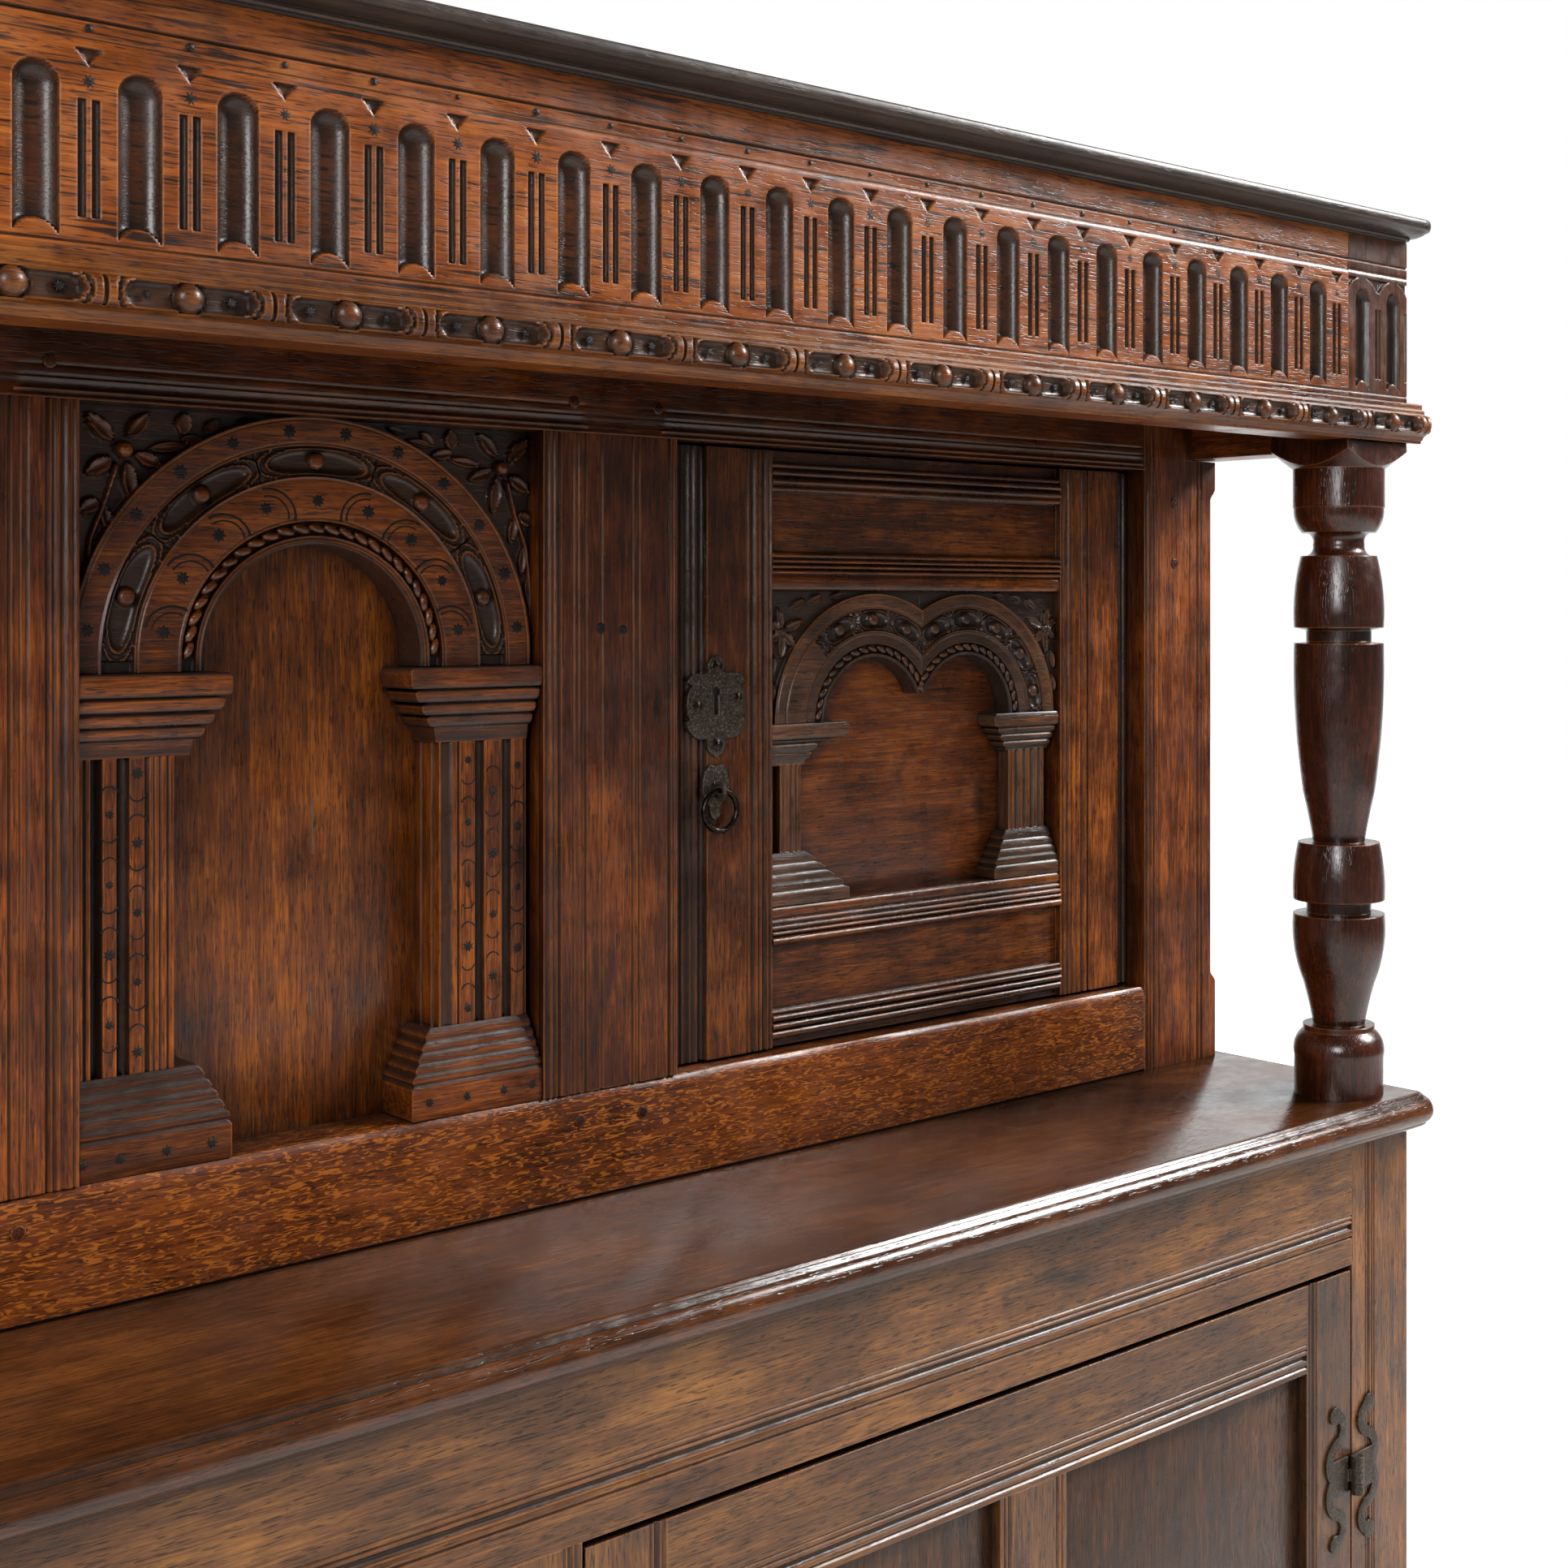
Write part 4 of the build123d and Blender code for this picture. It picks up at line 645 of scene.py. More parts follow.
def unit_wax(s, t, half_length, half_height, cut):
    """Wax and painted shade, darker with depth, in the ovals, but not on the rubbed pearl."""
    ring = np.hypot(s, t) / (0.6 * half_height)
    wax = settled_wax(cut, 0.3 * half_height, 0.92)
    return np.where(ring < 0.92, 0.2 * ring, wax)


def remade(carving, name, materials, *nodes, angle=38.0):
    """Makes a carving the piece that stands for the nodes."""
    REMADE.update(nodes)
    return keep(carving.mesh(name, angle), name, BODY_OF[nodes[0]], materials,
                SLOT_OF[nodes[0]], *nodes)


def remade_pair(carving, name, materials, *nodes, angle=38.0):
    """The same for a right-hand carving and its mirror image."""
    for side, shape in (("right", carving), ("left", carving.mirrored())):
        remade(shape, name.format(side), materials, *[node.format(side) for node in nodes],
               angle=angle)


REMADE = set()            # nodes that a piece made below stands for

# ------------------------------------------------------------------ geometry nodes
def new_tree(name, **sockets):
    """An empty tree on a mesh and other named inputs, and the node that gives them."""
    tree = bpy.data.node_groups.new(name, "GeometryNodeTree")
    for socket, kind in {"Geometry": "Geometry", **sockets}.items():
        tree.interface.new_socket(socket.replace("_", " "), in_out="INPUT",
                                  socket_type="NodeSocket" + kind)
    tree.interface.new_socket("Geometry", in_out="OUTPUT", socket_type="NodeSocketGeometry")
    return tree, add(tree, "NodeGroupInput")


def set_out_tree():
    """A tree that sets a small unit out on marked points, turned and sized by their marks."""
    tree, given = new_tree("Set out units", Unit="Object", Unit_size="Float",
                           Size_spread="Float", Turn_spread="Float", Seed="Int",
                           Material="Material")
    unit = add(tree, "GeometryNodeObjectInfo", inputs={"Object": given.outputs["Unit"]})
    turn = add(tree, "GeometryNodeInputNamedAttribute", {"data_type": "FLOAT_VECTOR"},
               {"Name": "turn"})
    size = add(tree, "GeometryNodeInputNamedAttribute", {"data_type": "FLOAT"},
               {"Name": "size"})
    spread = add(tree, "FunctionNodeRandomValue", {"data_type": "FLOAT"},
                 {2: -1.0, 3: 1.0, "Seed": given.outputs["Seed"]})
    grow = add(tree, "ShaderNodeMath", {"operation": "MULTIPLY_ADD"},
               {0: spread.outputs[1], 1: given.outputs["Size spread"], 2: 1.0})
    scaled = add(tree, "ShaderNodeMath", {"operation": "MULTIPLY"},
                 {0: grow.outputs[0], 1: given.outputs["Unit size"]})
    full = add(tree, "ShaderNodeMath", {"operation": "MULTIPLY"},
               {0: scaled.outputs[0], 1: size.outputs["Attribute"]})
    on_points = add(tree, "GeometryNodeInstanceOnPoints",
                    inputs={"Points": given.outputs["Geometry"],
                            "Instance": unit.outputs["Geometry"], "Scale": full.outputs[0],
                            "Rotation": turn.outputs["Attribute"]})
    twist = add(tree, "FunctionNodeRandomValue", {"data_type": "FLOAT"},
                {2: -1.0, 3: 1.0, "Seed": given.outputs["Seed"]})
    angle = add(tree, "ShaderNodeMath", {"operation": "MULTIPLY"},
                {0: twist.outputs[1], 1: given.outputs["Turn spread"]})
    about = add(tree, "ShaderNodeCombineXYZ", inputs={"Y": angle.outputs[0]})
    turned = add(tree, "GeometryNodeRotateInstances",
                 inputs={"Instances": on_points.outputs[0], "Rotation": about.outputs[0]})
    solid = add(tree, "GeometryNodeRealizeInstances", inputs={"Geometry": turned.outputs[0]})
    coated = add(tree, "GeometryNodeSetMaterial", inputs={"Geometry": solid.outputs[0],
                                                          "Material": given.outputs["Material"]})
    add(tree, "NodeGroupOutput", inputs={"Geometry": coated.outputs[0]})
    return tree


def run_tree():
    """A tree that repeats a carved unit along a line, welds the joints and lets the hand show."""
    tree, given = new_tree("Carved run", Unit="Object", Count="Int", Pitch="Float",
                           Start="Float", Hand_wander="Float", Wander_size="Float",
                           Material="Material")
    start = add(tree, "ShaderNodeCombineXYZ", inputs={"X": given.outputs["Start"]})
    pitch = add(tree, "ShaderNodeCombineXYZ", inputs={"X": given.outputs["Pitch"]})
    line = add(tree, "GeometryNodeMeshLine", inputs={"Count": given.outputs["Count"],
                                                     "Start Location": start.outputs[0],
                                                     "Offset": pitch.outputs[0]})
    unit = add(tree, "GeometryNodeObjectInfo", inputs={"Object": given.outputs["Unit"]})
    on_points = add(tree, "GeometryNodeInstanceOnPoints",
                    inputs={"Points": line.outputs[0], "Instance": unit.outputs["Geometry"]})
    solid = add(tree, "GeometryNodeRealizeInstances", inputs={"Geometry": on_points.outputs[0]})
    ends = add(tree, "GeometryNodeJoinGeometry", inputs={"Geometry": solid.outputs[0]})
    tree.links.new(given.outputs["Geometry"], ends.inputs[0])
    welded = add(tree, "GeometryNodeMergeByDistance", inputs={"Geometry": ends.outputs[0],
                                                              "Distance": 0.02 * MM})
    place = add(tree, "GeometryNodeInputPosition")
    drift = add(tree, "ShaderNodeTexNoise", inputs={"Vector": place.outputs[0],
                                                    "Scale": given.outputs["Wander size"],
                                                    "Detail": 1.0})
    depth = add(tree, "ShaderNodeMath", {"operation": "MULTIPLY"},
                {0: drift.outputs["Fac"], 1: given.outputs["Hand wander"]})
    wax = add(tree, "GeometryNodeInputNamedAttribute", {"data_type": "FLOAT"}, {"Name": "wax"})
    carved = add(tree, "ShaderNodeMath", {"operation": "MULTIPLY"},
                 {0: depth.outputs[0], 1: wax.outputs["Attribute"]})
    inward = add(tree, "ShaderNodeCombineXYZ", inputs={"Y": carved.outputs[0]})
    moved = add(tree, "GeometryNodeSetPosition", inputs={"Geometry": welded.outputs[0],
                                                         "Offset": inward.outputs[0]})
    coated = add(tree, "GeometryNodeSetMaterial", inputs={"Geometry": moved.outputs[0],
                                                          "Material": given.outputs["Material"]})
    add(tree, "NodeGroupOutput", inputs={"Geometry": coated.outputs[0]})
    return tree


SET_OUT = set_out_tree()
CARVED_RUN = run_tree()


def grown(host_mesh, tree, values):
    """Runs a tree on a mesh with its named inputs, and returns the plain mesh it makes."""
    host = bpy.data.objects.new("host", host_mesh)
    bpy.context.scene.collection.objects.link(host)
    modifier = host.modifiers.new("nodes", "NODES")
    modifier.node_group = tree
    sockets = {item.name: item.identifier for item in tree.interface.items_tree
               if item.item_type == "SOCKET" and item.in_out == "INPUT"}
    for name, value in values.items():
        modifier[sockets[name]] = value
    bpy.context.view_layer.update()
    evaluated = host.evaluated_get(bpy.context.evaluated_depsgraph_get())
    mesh = bpy.data.meshes.new_from_object(evaluated)
    host.modifiers.clear()
    bpy.data.objects.remove(host)
    return mesh


def unit_object(name, mesh):
    """A unit for a tree, taken away once it is used."""
    unit = bpy.data.objects.new(name, mesh)
    bpy.context.scene.collection.objects.link(unit)
    return unit


def set_out(name, unit_mesh, places, body, material, slot, turns=None, sizes=None,
            size_spread=0.08, turn_spread=0.3, seed=3):
    """Units at places in mm, each turned and sized by its own marks."""
    points = bpy.data.meshes.new("points")
    points.from_pydata([tuple(c * MM for c in place) for place in places], [], [])
    turns = turns if turns is not None else [(0.0, 0.0, 0.0)] * len(places)
    sizes = sizes if sizes is not None else [1.0] * len(places)
    points.attributes.new("turn", "FLOAT_VECTOR", "POINT").data.foreach_set(
        "vector", np.array(turns, float).ravel())
    points.attributes.new("size", "FLOAT", "POINT").data.foreach_set("value",
                                                                     np.array(sizes, float))
    unit = unit_object("unit", unit_mesh)
    mesh = grown(points, SET_OUT, {"Unit": unit, "Unit size": 1.0, "Size spread": size_spread,
                                   "Turn spread": turn_spread, "Seed": seed,
                                   "Material": material})
    bpy.data.objects.remove(unit)
    return keep(mesh, name, body, [], slot)


# ------------------------------------------------------------------ carved runs
def section_run(xs, zs, y, y_back, wax, own=0.5, cap_low=False, cap_high=False):
    """A length of moulding: its section wraps round the back, and its ends stay open unless
    they are capped."""
    columns, rows = len(xs), len(zs)
    x, z = np.meshgrid(xs, zs)
    front = np.stack([x, y, z], 2)
    behind = np.stack([front[-1], front[0]])
    behind[:, :, 1] = y_back
    points = np.concatenate([front, behind]).reshape(-1, 3)
    loop = rows + 2
    index = np.arange(loop * columns).reshape(loop, columns)
    index = np.vstack([index, index[:1]])
    a, b = index[:-1, :-1].ravel(), index[:-1, 1:].ravel()
    c, d = index[1:, 1:].ravel(), index[1:, :-1].ravel()
    faces = np.stack([a, b, c, d], 1).tolist()
    if cap_low:
        faces.append(tuple(index[:-1, 0].tolist()))
    if cap_high:
        faces.append(tuple(index[:-1, -1].tolist()[::-1]))
    wax = np.vstack([wax, np.zeros((2, columns))])
    return Carving(points, faces, wax, 0, own)


def carved_run(name, unit, count, pitch, start, ends, wander, material, slot, node):
    """A unit repeated along X between its two ends, as the piece that stands for the node."""
    unit = unit_object("unit", unit.mesh("unit"))
    mesh = grown(ends.mesh("ends"), CARVED_RUN,
                 {"Unit": unit, "Count": count, "Pitch": pitch * MM, "Start": start * MM,
                  "Hand wander": wander * MM, "Wander size": 26.0, "Material": material})
    bpy.data.objects.remove(unit)
    REMADE.add(node)
    return keep(mesh, name, BODY_OF[node], [], slot, node)


# frieze: a run of round-headed flutes between paired slots
FLUTE_PITCH = 45.22
FLUTE_COUNT = 31
FLUTE_HEAD = 103.6        # middle of a flute's round head, above the soffit
FLUTE_FOOT = 33.84        # middle of the round boss at its foot, above the soffit
FOOT_RADIUS = 10.46


def flute(u, v, deep):
    """Depth of a flute at u from its middle and v above the soffit."""
    head = np.hypot(u, np.clip(v - FLUTE_HEAD, 0, None)) / 10.0
    bottom = FLUTE_FOOT + np.sqrt(np.clip(FOOT_RADIUS ** 2 - u ** 2, 0, None))
    return hollow(np.clip(head, 0, 1), deep) * step(-0.2, 1.6, v - bottom)


def between_heads(outside, v):
    """Depth of the sunk triangles between the flutes' heads, outside the rims round them."""
    return 1.8 * step(-0.1, 0.9, outside) * (v > 112.0) * (1 - step(121.0, 121.8, v))


def frieze_cut(u, v):
    """Depth of the frieze's carving at u from a flute's middle and v above the soffit."""
    side = np.abs(u)
    slot = trench(side, 17.86, 21.2, 2.1, 0.7) * step(46.6, 47.6, v) * (1 - step(98.4, 99.4, v))
    cut = np.maximum(flute(u, v, 7.0), slot)
    cut = np.maximum(cut, between_heads(np.hypot(u, v - 101.3) - 25.9, v))
    return np.maximum(cut, lines(v, ((35.5, 1.8, 0.8), (126.0, 1.3, 0.8), (128.6, 1.0, 0.5),
                                     (134.3, 2.0, 1.4))))


def frieze_wax(u, v, cut):
    """Wax and painted shade, darker with depth, in the flutes' sides and the sunk triangles between
    their heads, rubbed through in the flutes' middles; the band under the cornice is darkened evenly.
    """
    wax = settled_wax(cut, 1.8, 0.93)
    rubbed = np.exp(-(u / 3.6) ** 2) * step(46, 62, v) * (1 - step(86, 104, v))
    wax = np.where(np.abs(u) < 10, wax * (1 - 0.3 * rubbed), wax)
    wax = np.where((v > 112) & (v < 122) & (cut > 0.9), 0.8, wax)
    return np.where(v > 135.0, 0.25, wax)


frieze_half = np.array([0, 2.2, 4.4, 6.2, 7.6, 8.7, 9.5, 10.0, 10.4, 11.6, 12.8, 14.0, 15.2,
                        16.4, 17.6, 18.1, 19.5, 21.0, 21.5, 22.05, 22.61])
frieze_u = np.concatenate([-frieze_half[:0:-1], frieze_half])
frieze_v = np.concatenate([
    [0, 30.8, 33.5, 34.6, 35.5, 36.4, 37.2, 38.2, 39.4, 40.8, 42.2, 43.4, 44.4, 45.6, 46.6, 47.4,
     49, 60, 72, 84, 93, 96, 97.6, 98.6, 99.4], np.arange(100.4, 114.0, 0.95),
    np.arange(114.6, 121.1, 0.8), [121.4, 121.9, 123.5, 125.4, 126.0, 126.6, 128.4, 133.2, 134.3,
                                   135.4, 154.0]])


def frieze_part(xs, us, **caps):
    """A stretch of the frieze whose carving is read at us."""
    u, v = np.meshgrid(us, frieze_v)
    cut = frieze_cut(u, v)
    return section_run(xs, SOFFIT + frieze_v, FRONT + cut, FRONT + 30.0, frieze_wax(u, v, cut),
                       **caps)


run_half = FLUTE_COUNT * FLUTE_PITCH / 2
strip = np.array([0, 0.56, 1.11, 1.61, 3.11, 4.51, 5.01, 6.5, 8.5, 715.0 - run_half])
strip_u = FLUTE_PITCH / 2 - np.minimum(strip, 8.5)
frieze_ends = (frieze_part(run_half + strip, strip_u, cap_high=True)
               + frieze_part(-run_half - strip[::-1], -strip_u[::-1], cap_low=True))
carved_run("frieze", frieze_part(frieze_u, frieze_u), FLUTE_COUNT, FLUTE_PITCH,
           -(FLUTE_COUNT - 1) / 2 * FLUTE_PITCH, frieze_ends, 1.1, OAK_FRIEZE[0],
           SLOT_OF["frieze_board"], "frieze_board")

# pearl moulding: domes between pairs of spooned ovals
PEARL_PITCH = 76.8
PEARL_OFFSET = -9.0
pearl_v = np.array([0, 1.1, 2.2, 2.6, 4.0, 5.2, 5.8, 7.0, 7.1, 7.7, 8.6, 9.6, 10.7, 11.8, 12.9, 14,
                    15.1, 16.2, 17.3, 18.4, 19.4, 20.3, 20.9, 21, 22, 25, 25.8, 30, 31])


def pearl_section(v):
    """How far the plain moulding stands out, v above the soffit."""
    plain = np.interp(v, [0, 2.2, 2.6, 5.2, 5.8, 7, 21, 22, 25, 25.8, 30, 31],
                      [3, 3.6, 4.6, 6, 7.5, 9, 9, 6.6, 6.6, 4.4, 4.4, 0.4])
    return np.where(np.abs(v - 14) < 7, 9 + 5 * np.sqrt(np.clip(1 - ((v - 14) / 7) ** 2, 0, 1)),
                    plain)


def pearl_proud(s, v):
    """How far the carved moulding stands out, s from a pearl's middle."""
    side, t = np.abs(s), v - 14
    spoon = np.hypot(np.clip(side - 23.6, 0, None), t) / 6.3
    flat_floor = 8.9 - 0.8 * step(8.0, 20.0, side) * np.clip(1 - (t / 6.3) ** 2, 0, 1)
    proud = np.where(spoon < 1, flat_floor + 4.0 * step(0.80, 1.0, spoon), pearl_section(v))
    crescent = ((np.abs(np.hypot(np.clip(side - 23.6, 0, None), t) - 8.9) < 0.9)
                * (side > 27.0) * (np.abs(t) < 6.6))
    proud -= 2.0 * crescent
    proud -= 2.0 * (side > PEARL_PITCH / 2 - 0.9) * (np.abs(t) < 6.9)
    ring = np.hypot(s, t)
    proud = np.where((ring < 8.2) & (np.abs(t) < 7), np.minimum(proud, 8.2), proud)
    return np.where(ring < 6.9, 8.4 + 5.4 * np.sqrt(np.clip(1 - (ring / 6.9) ** 2, 0, 1)), proud)


def pearl_part(xs, ss, **caps):
    """A stretch of the pearl moulding whose carving is read at ss."""
    s, v = np.meshgrid(ss, pearl_v)
    proud = pearl_proud(s, v)
    # darker with depth: old wax and painted shade in the carving
    wax = settled_wax(pearl_section(v) - proud, 2.6, 0.85)
    ring = np.hypot(s, v - 14)
    wax = np.where(ring < 6.4, 0.08 * ring, wax)
    return section_run(xs, SOFFIT + pearl_v, FRONT - proud, FRONT, wax, **caps)


pearl_half = np.concatenate([[0, 1.6, 3.1, 4.4, 5.4, 6.2, 6.8, 7.2, 8.1, 8.7],
                             np.arange(10.0, 31.0, 1.5), [31.0, 31.6, 32.6, 33.6, 34.2, 36.0, 37.3,
                                                         37.6, 38.4]])
pearl_s = np.concatenate([-pearl_half[:0:-1], pearl_half])
pearl_low = PEARL_OFFSET - 9.5 * PEARL_PITCH
pearl_high = PEARL_OFFSET + 10.5 * PEARL_PITCH
stub_s = np.concatenate([[-26.0], pearl_s[pearl_s > -26.0]])
nose_s = np.array([38.4, 38.45, 40.0, 41.6, 43.0, 44.0])
pearl_ends = (pearl_part(pearl_low - 38.4 + stub_s, stub_s, cap_low=True)
              + pearl_part(pearl_high + nose_s - 38.4, nose_s - 76.8, cap_high=True))
carved_run("pearl_run", pearl_part(pearl_s, pearl_s), 20, PEARL_PITCH,
           PEARL_OFFSET - 9 * PEARL_PITCH, pearl_ends, 0.7, OAK_MOULDING[0],
           SLOT_OF["pearl_moulding"], "pearl_moulding")

# its plain returns along the cupboard's sides
return_section = [(pearl_section(v), v) for v in pearl_v]


def side_return(side):
    """The moulding along one side, run from the front to the back."""
    points, faces = [], []
    loop = [*return_section, (0.0, 31.0), (0.0, 0.0)]
    for y in (FRONT, BACK):
        points += [(side * (OUTER + proud), y, SOFFIT + v) for proud, v in loop]
    count = len(loop)
    for i in range(count):
        j = (i + 1) % count
        faces.append((i, j, count + j, count + i)[::-side])
    faces += [tuple(range(count))[::side], tuple(range(count, 2 * count))[::-side]]
    return Carving(points, faces, [0.2] * len(points), 1, 0.4)


for side, hand in ((1, "right"), (-1, "left")):
    keep(side_return(side).mesh("return"), f"pearl_return_{hand}", BODY_OF["pearl_moulding"],
         OAK_MOULDING, SLOT_OF["pearl_moulding"])

# ------------------------------------------------------------------ centre arch
SPRING = 1274.5
ARCH_FRONT = -55.5
ARCH_BACK = -26.5
ARCH_CHANNEL = (104.8, 123.0, 5)    # inner and outer radius, and units round the half turn
UNWORN = -1.0             # an angle before any arch's end


def around(radius, angle, radius_out, radius_in, count):
    """Place in a pearl-and-oval unit round an arch: along it and across its channel."""
    middle, half_height = (radius_out + radius_in) / 2, (radius_out - radius_in) / 2
    half_unit = math.pi / count / 2
    turn = (np.mod(np.clip(angle, 1e-6, math.pi - 1e-6), 2 * half_unit) - half_unit) * middle
    return turn, radius - middle, half_unit * middle, half_height


def channel(radius, angle, band, worn):
    """Where a channel's carving is left, and each place in its units: band is the channel's
    inner and outer radius and its count of units, which are worn away up to an angle."""
    inner, outer, count = band
    inside = (radius > inner) & (radius < outer) & (angle > worn)
    return inside, around(radius, angle, outer, inner, count)


def channel_cut(radius, angle, band, sunk, worn=UNWORN):
    """Depth of a channel of pearls and ovals, whose band is sunk a little."""
    inside, place = channel(radius, angle, band, worn)
    return np.where(inside, pearl_and_ovals(*place) + sunk, 0.0)


def channel_wax(radius, angle, cut, band, worn=UNWORN):
    """Wax and painted shade, darker with depth, in a channel of pearls and ovals, and on the arch
    beside it.
    """
    inside, place = channel(radius, angle, band, worn)
    return np.where(inside, unit_wax(*place, cut), settled_wax(cut, 2.0, 0.85))


def arch_cut(radius, angle):
    """Depth of the centre arch's carving."""
    cut = channel_cut(radius, angle, ARCH_CHANNEL, 0.6)
    cut = np.maximum(cut, lines(radius, ((137.6, 1.2, 0.7), (124.4, 1.4, 0.9), (103.4, 1.4, 0.9),
                                         (81.2, 1.3, 0.8), (69.4, 1.6, 1.2))))
    cut = np.maximum(cut, trench(radius, 71.0, 79.0, 5.0, 0.6))
    return np.maximum(cut, 2.2 * (1 - step(67.4, 68.4, radius)))


arch_radii = np.concatenate([[66.0, 67.2, 68.4, 69.0, 69.8, 70.7, 71.4, 73.5, 76.5, 78.6, 79.4,
                              80.6, 81.2, 81.8, 86, 92, 98, 102.8, 103.4, 104.0],
                             np.linspace(104.8, 123.0, 20), [123.8, 124.4, 125.0, 131, 137.0, 137.6,
                                                             138.2, 139.5]])
STILT = 6.0               # the arch stands this far straight up before it turns
arch_angles = np.concatenate([[math.pi + STILT / 100], np.linspace(math.pi, 0, 481),
                              [-STILT / 100]])
carved_arch = half_ring(0.0, SPRING, arch_radii, arch_angles, arch_cut, ARCH_FRONT, ARCH_BACK, 0,
                        own=0.35, wax=lambda r, a, cut: channel_wax(r, a, cut, ARCH_CHANNEL))

# a flower in the spandrel's corner, with leaves along both edges: where each one starts, its
# turn in degrees, its length and its width
SPANDREL_LEAVES = (
    (123.0, 1394.5, 45, 21, 9.5), (116, 1397, 133, 19, 9), (112, 1388, 201, 17, 8.5),
    (116, 1384, 262, 23, 9), (124.0, 1385, -32, 17, 9.5), (128, 1359, -101, 16, 7),
    (130.5, 1362, -30, 13, 9), (134, 1341, -94, 17, 6), (137, 1322, -88, 16, 5.2),
    (139.5, 1304, -90, 13, 4.2), (85, 1400, 95, 12.5, 10), (86, 1398, 190, 16, 7),
    (73, 1401, 135, 12, 7), (70, 1401, 168, 15, 5.5), (54, 1408, 165, 12, 4.5),
    (104, 1391, 172, 22, 6.5))
SPANDREL_STEM = ((122, 1381), (128, 1361), (135.7, 1341), (137.5, 1325), (139.5, 1300))


def spandrel(shift):
    """The sunk right-hand corner outside the arch, its flower shifted to the right."""
    angles = np.linspace(math.radians(86.0), 0.0, 190)
    reach = np.minimum(143.0 / np.cos(angles), 139.5 / np.sin(np.maximum(angles, 1e-3)))
    radii = 138.9 + (reach - 138.9) * np.linspace(0, 1, 60)[:, None]
    angle = np.broadcast_to(angles, radii.shape)
    real_x, z = radii * np.cos(angle), SPRING + radii * np.sin(angle)
    x = real_x - shift
    share = np.zeros_like(x)
    for *place, turn, length, width in SPANDREL_LEAVES:
        share = np.maximum(share, leaf(x, z, place, math.radians(turn), length, width))
    for (x0, z0), (x1, z1) in zip(SPANDREL_STEM, SPANDREL_STEM[1:]):
        along = np.clip(((x - x0) * (x1 - x0) + (z - z0) * (z1 - z0))
                        / ((x1 - x0) ** 2 + (z1 - z0) ** 2), 0, 1)
        off = np.hypot(x - x0 - along * (x1 - x0), z - z0 - along * (z1 - z0))
        share = np.maximum(share, np.clip(1.4 - off, 0, 1) ** 0.5)
    ring = np.hypot(x - 118.0, z - 1390.0)
    height = share * (3.8 + 1.8 * np.exp(-(ring / 19.0) ** 2))
    boss = np.sqrt(np.clip(1 - (ring / 4.6) ** 2, 0, 1))
    height = np.where(ring < 4.6, 3.4 + 4.6 * boss, height)
    wax = np.where(ring < 4.6, 0.45 * (1 - boss), leaf_wax(share))
    return closed_sheet(real_x, -46.5 - height, z, ARCH_BACK, wax, 0, 0.6)


remade(carved_arch + spandrel(4.5) + spandrel(-9.5).mirrored(), "arch", OAK_CARVED,
       "arch_carving", angle=30)

# stepped capitals, bases and fluted pilasters
capital_profile = [(0, 0.0), (2, 0.03), (7.5, 0.07), (9, 0.10), (10, 0.25), (12, 0.33),
                   (14.5, 0.36), (15.6, 0.31), (16.2, 0.20), (17, 0.46), (19, 0.55), (22, 0.58),
                   (23.1, 0.52), (23.8, 0.40), (24.8, 0.70), (27, 0.79), (30.5, 0.82),
                   (31.7, 0.74), (32.4, 0.60), (33.0, 0.92), (34.6, 0.98), (39.5, 1.0),
                   (43, 0.99), (44.8, 0.95), (45.6, 0.88)]
base_profile = [(0, 0.92), (1.2, 0.96), (19, 0.96), (20.4, 0.90), (21.6, 0.84), (23.5, 0.92),
                (26, 0.88), (27.5, 0.74), (29.5, 0.76), (32, 0.70), (33.5, 0.58), (35.5, 0.60),
                (38, 0.53), (39.5, 0.40), (41.5, 0.42), (44, 0.34), (45.5, 0.20), (48, 0.22),
                (50.5, 0.14), (53, 0.0)]
capital = stack(capital_profile, 143.0, 75.0, 54.0, -55.5, -64.5, ARCH_BACK, 1222.5, own=0.3,
                inset=6.0)
base = stack(base_profile, 143.0, 71.0, 54.0, -55.5, -64.5, ARCH_BACK, 998.0, own=0.7,
             inset=6.0)
remade(capital + capital.mirrored(), "capitals", OAK_CARVED, "arch_capitals", angle=24)
remade(base + base.mirrored(), "bases", OAK_CARVED, "arch_bases", angle=24)


def upright(low_x, high_x, cuts, side_cuts, own):
    """A pilaster with the same section all the way up, scratched on its face and inner side."""
    front = spaced(low_x, high_x, 0.6)
    inner = spaced(ARCH_FRONT, ARCH_BACK, 0.6)[:0:-1]
    face_cut, side_cut = lines(front, cuts), lines(inner, side_cuts)
    # scratched lines darken with depth and the back edge is dark: old wax and painted shade
    section = [(x, ARCH_FRONT + cut, min(0.9, cut * 0.8)) for x, cut in zip(front, face_cut)]
    section += [(high_x, ARCH_BACK, 0.8)]
    section += [(low_x + cut, y, min(0.9, cut * 0.8)) for y, cut in zip(inner, side_cut)]
    count = len(section)
    points = [(x, y, z) for z in (1051.0, 1222.5) for x, y, _ in section]
    faces = [(i, (i + 1) % count, count + (i + 1) % count, count + i) for i in range(count)]
    faces += [tuple(range(count))[::-1], tuple(range(count, 2 * count))]
    return Carving(points, faces, [wax for *_, wax in section] * 2, 2, own)


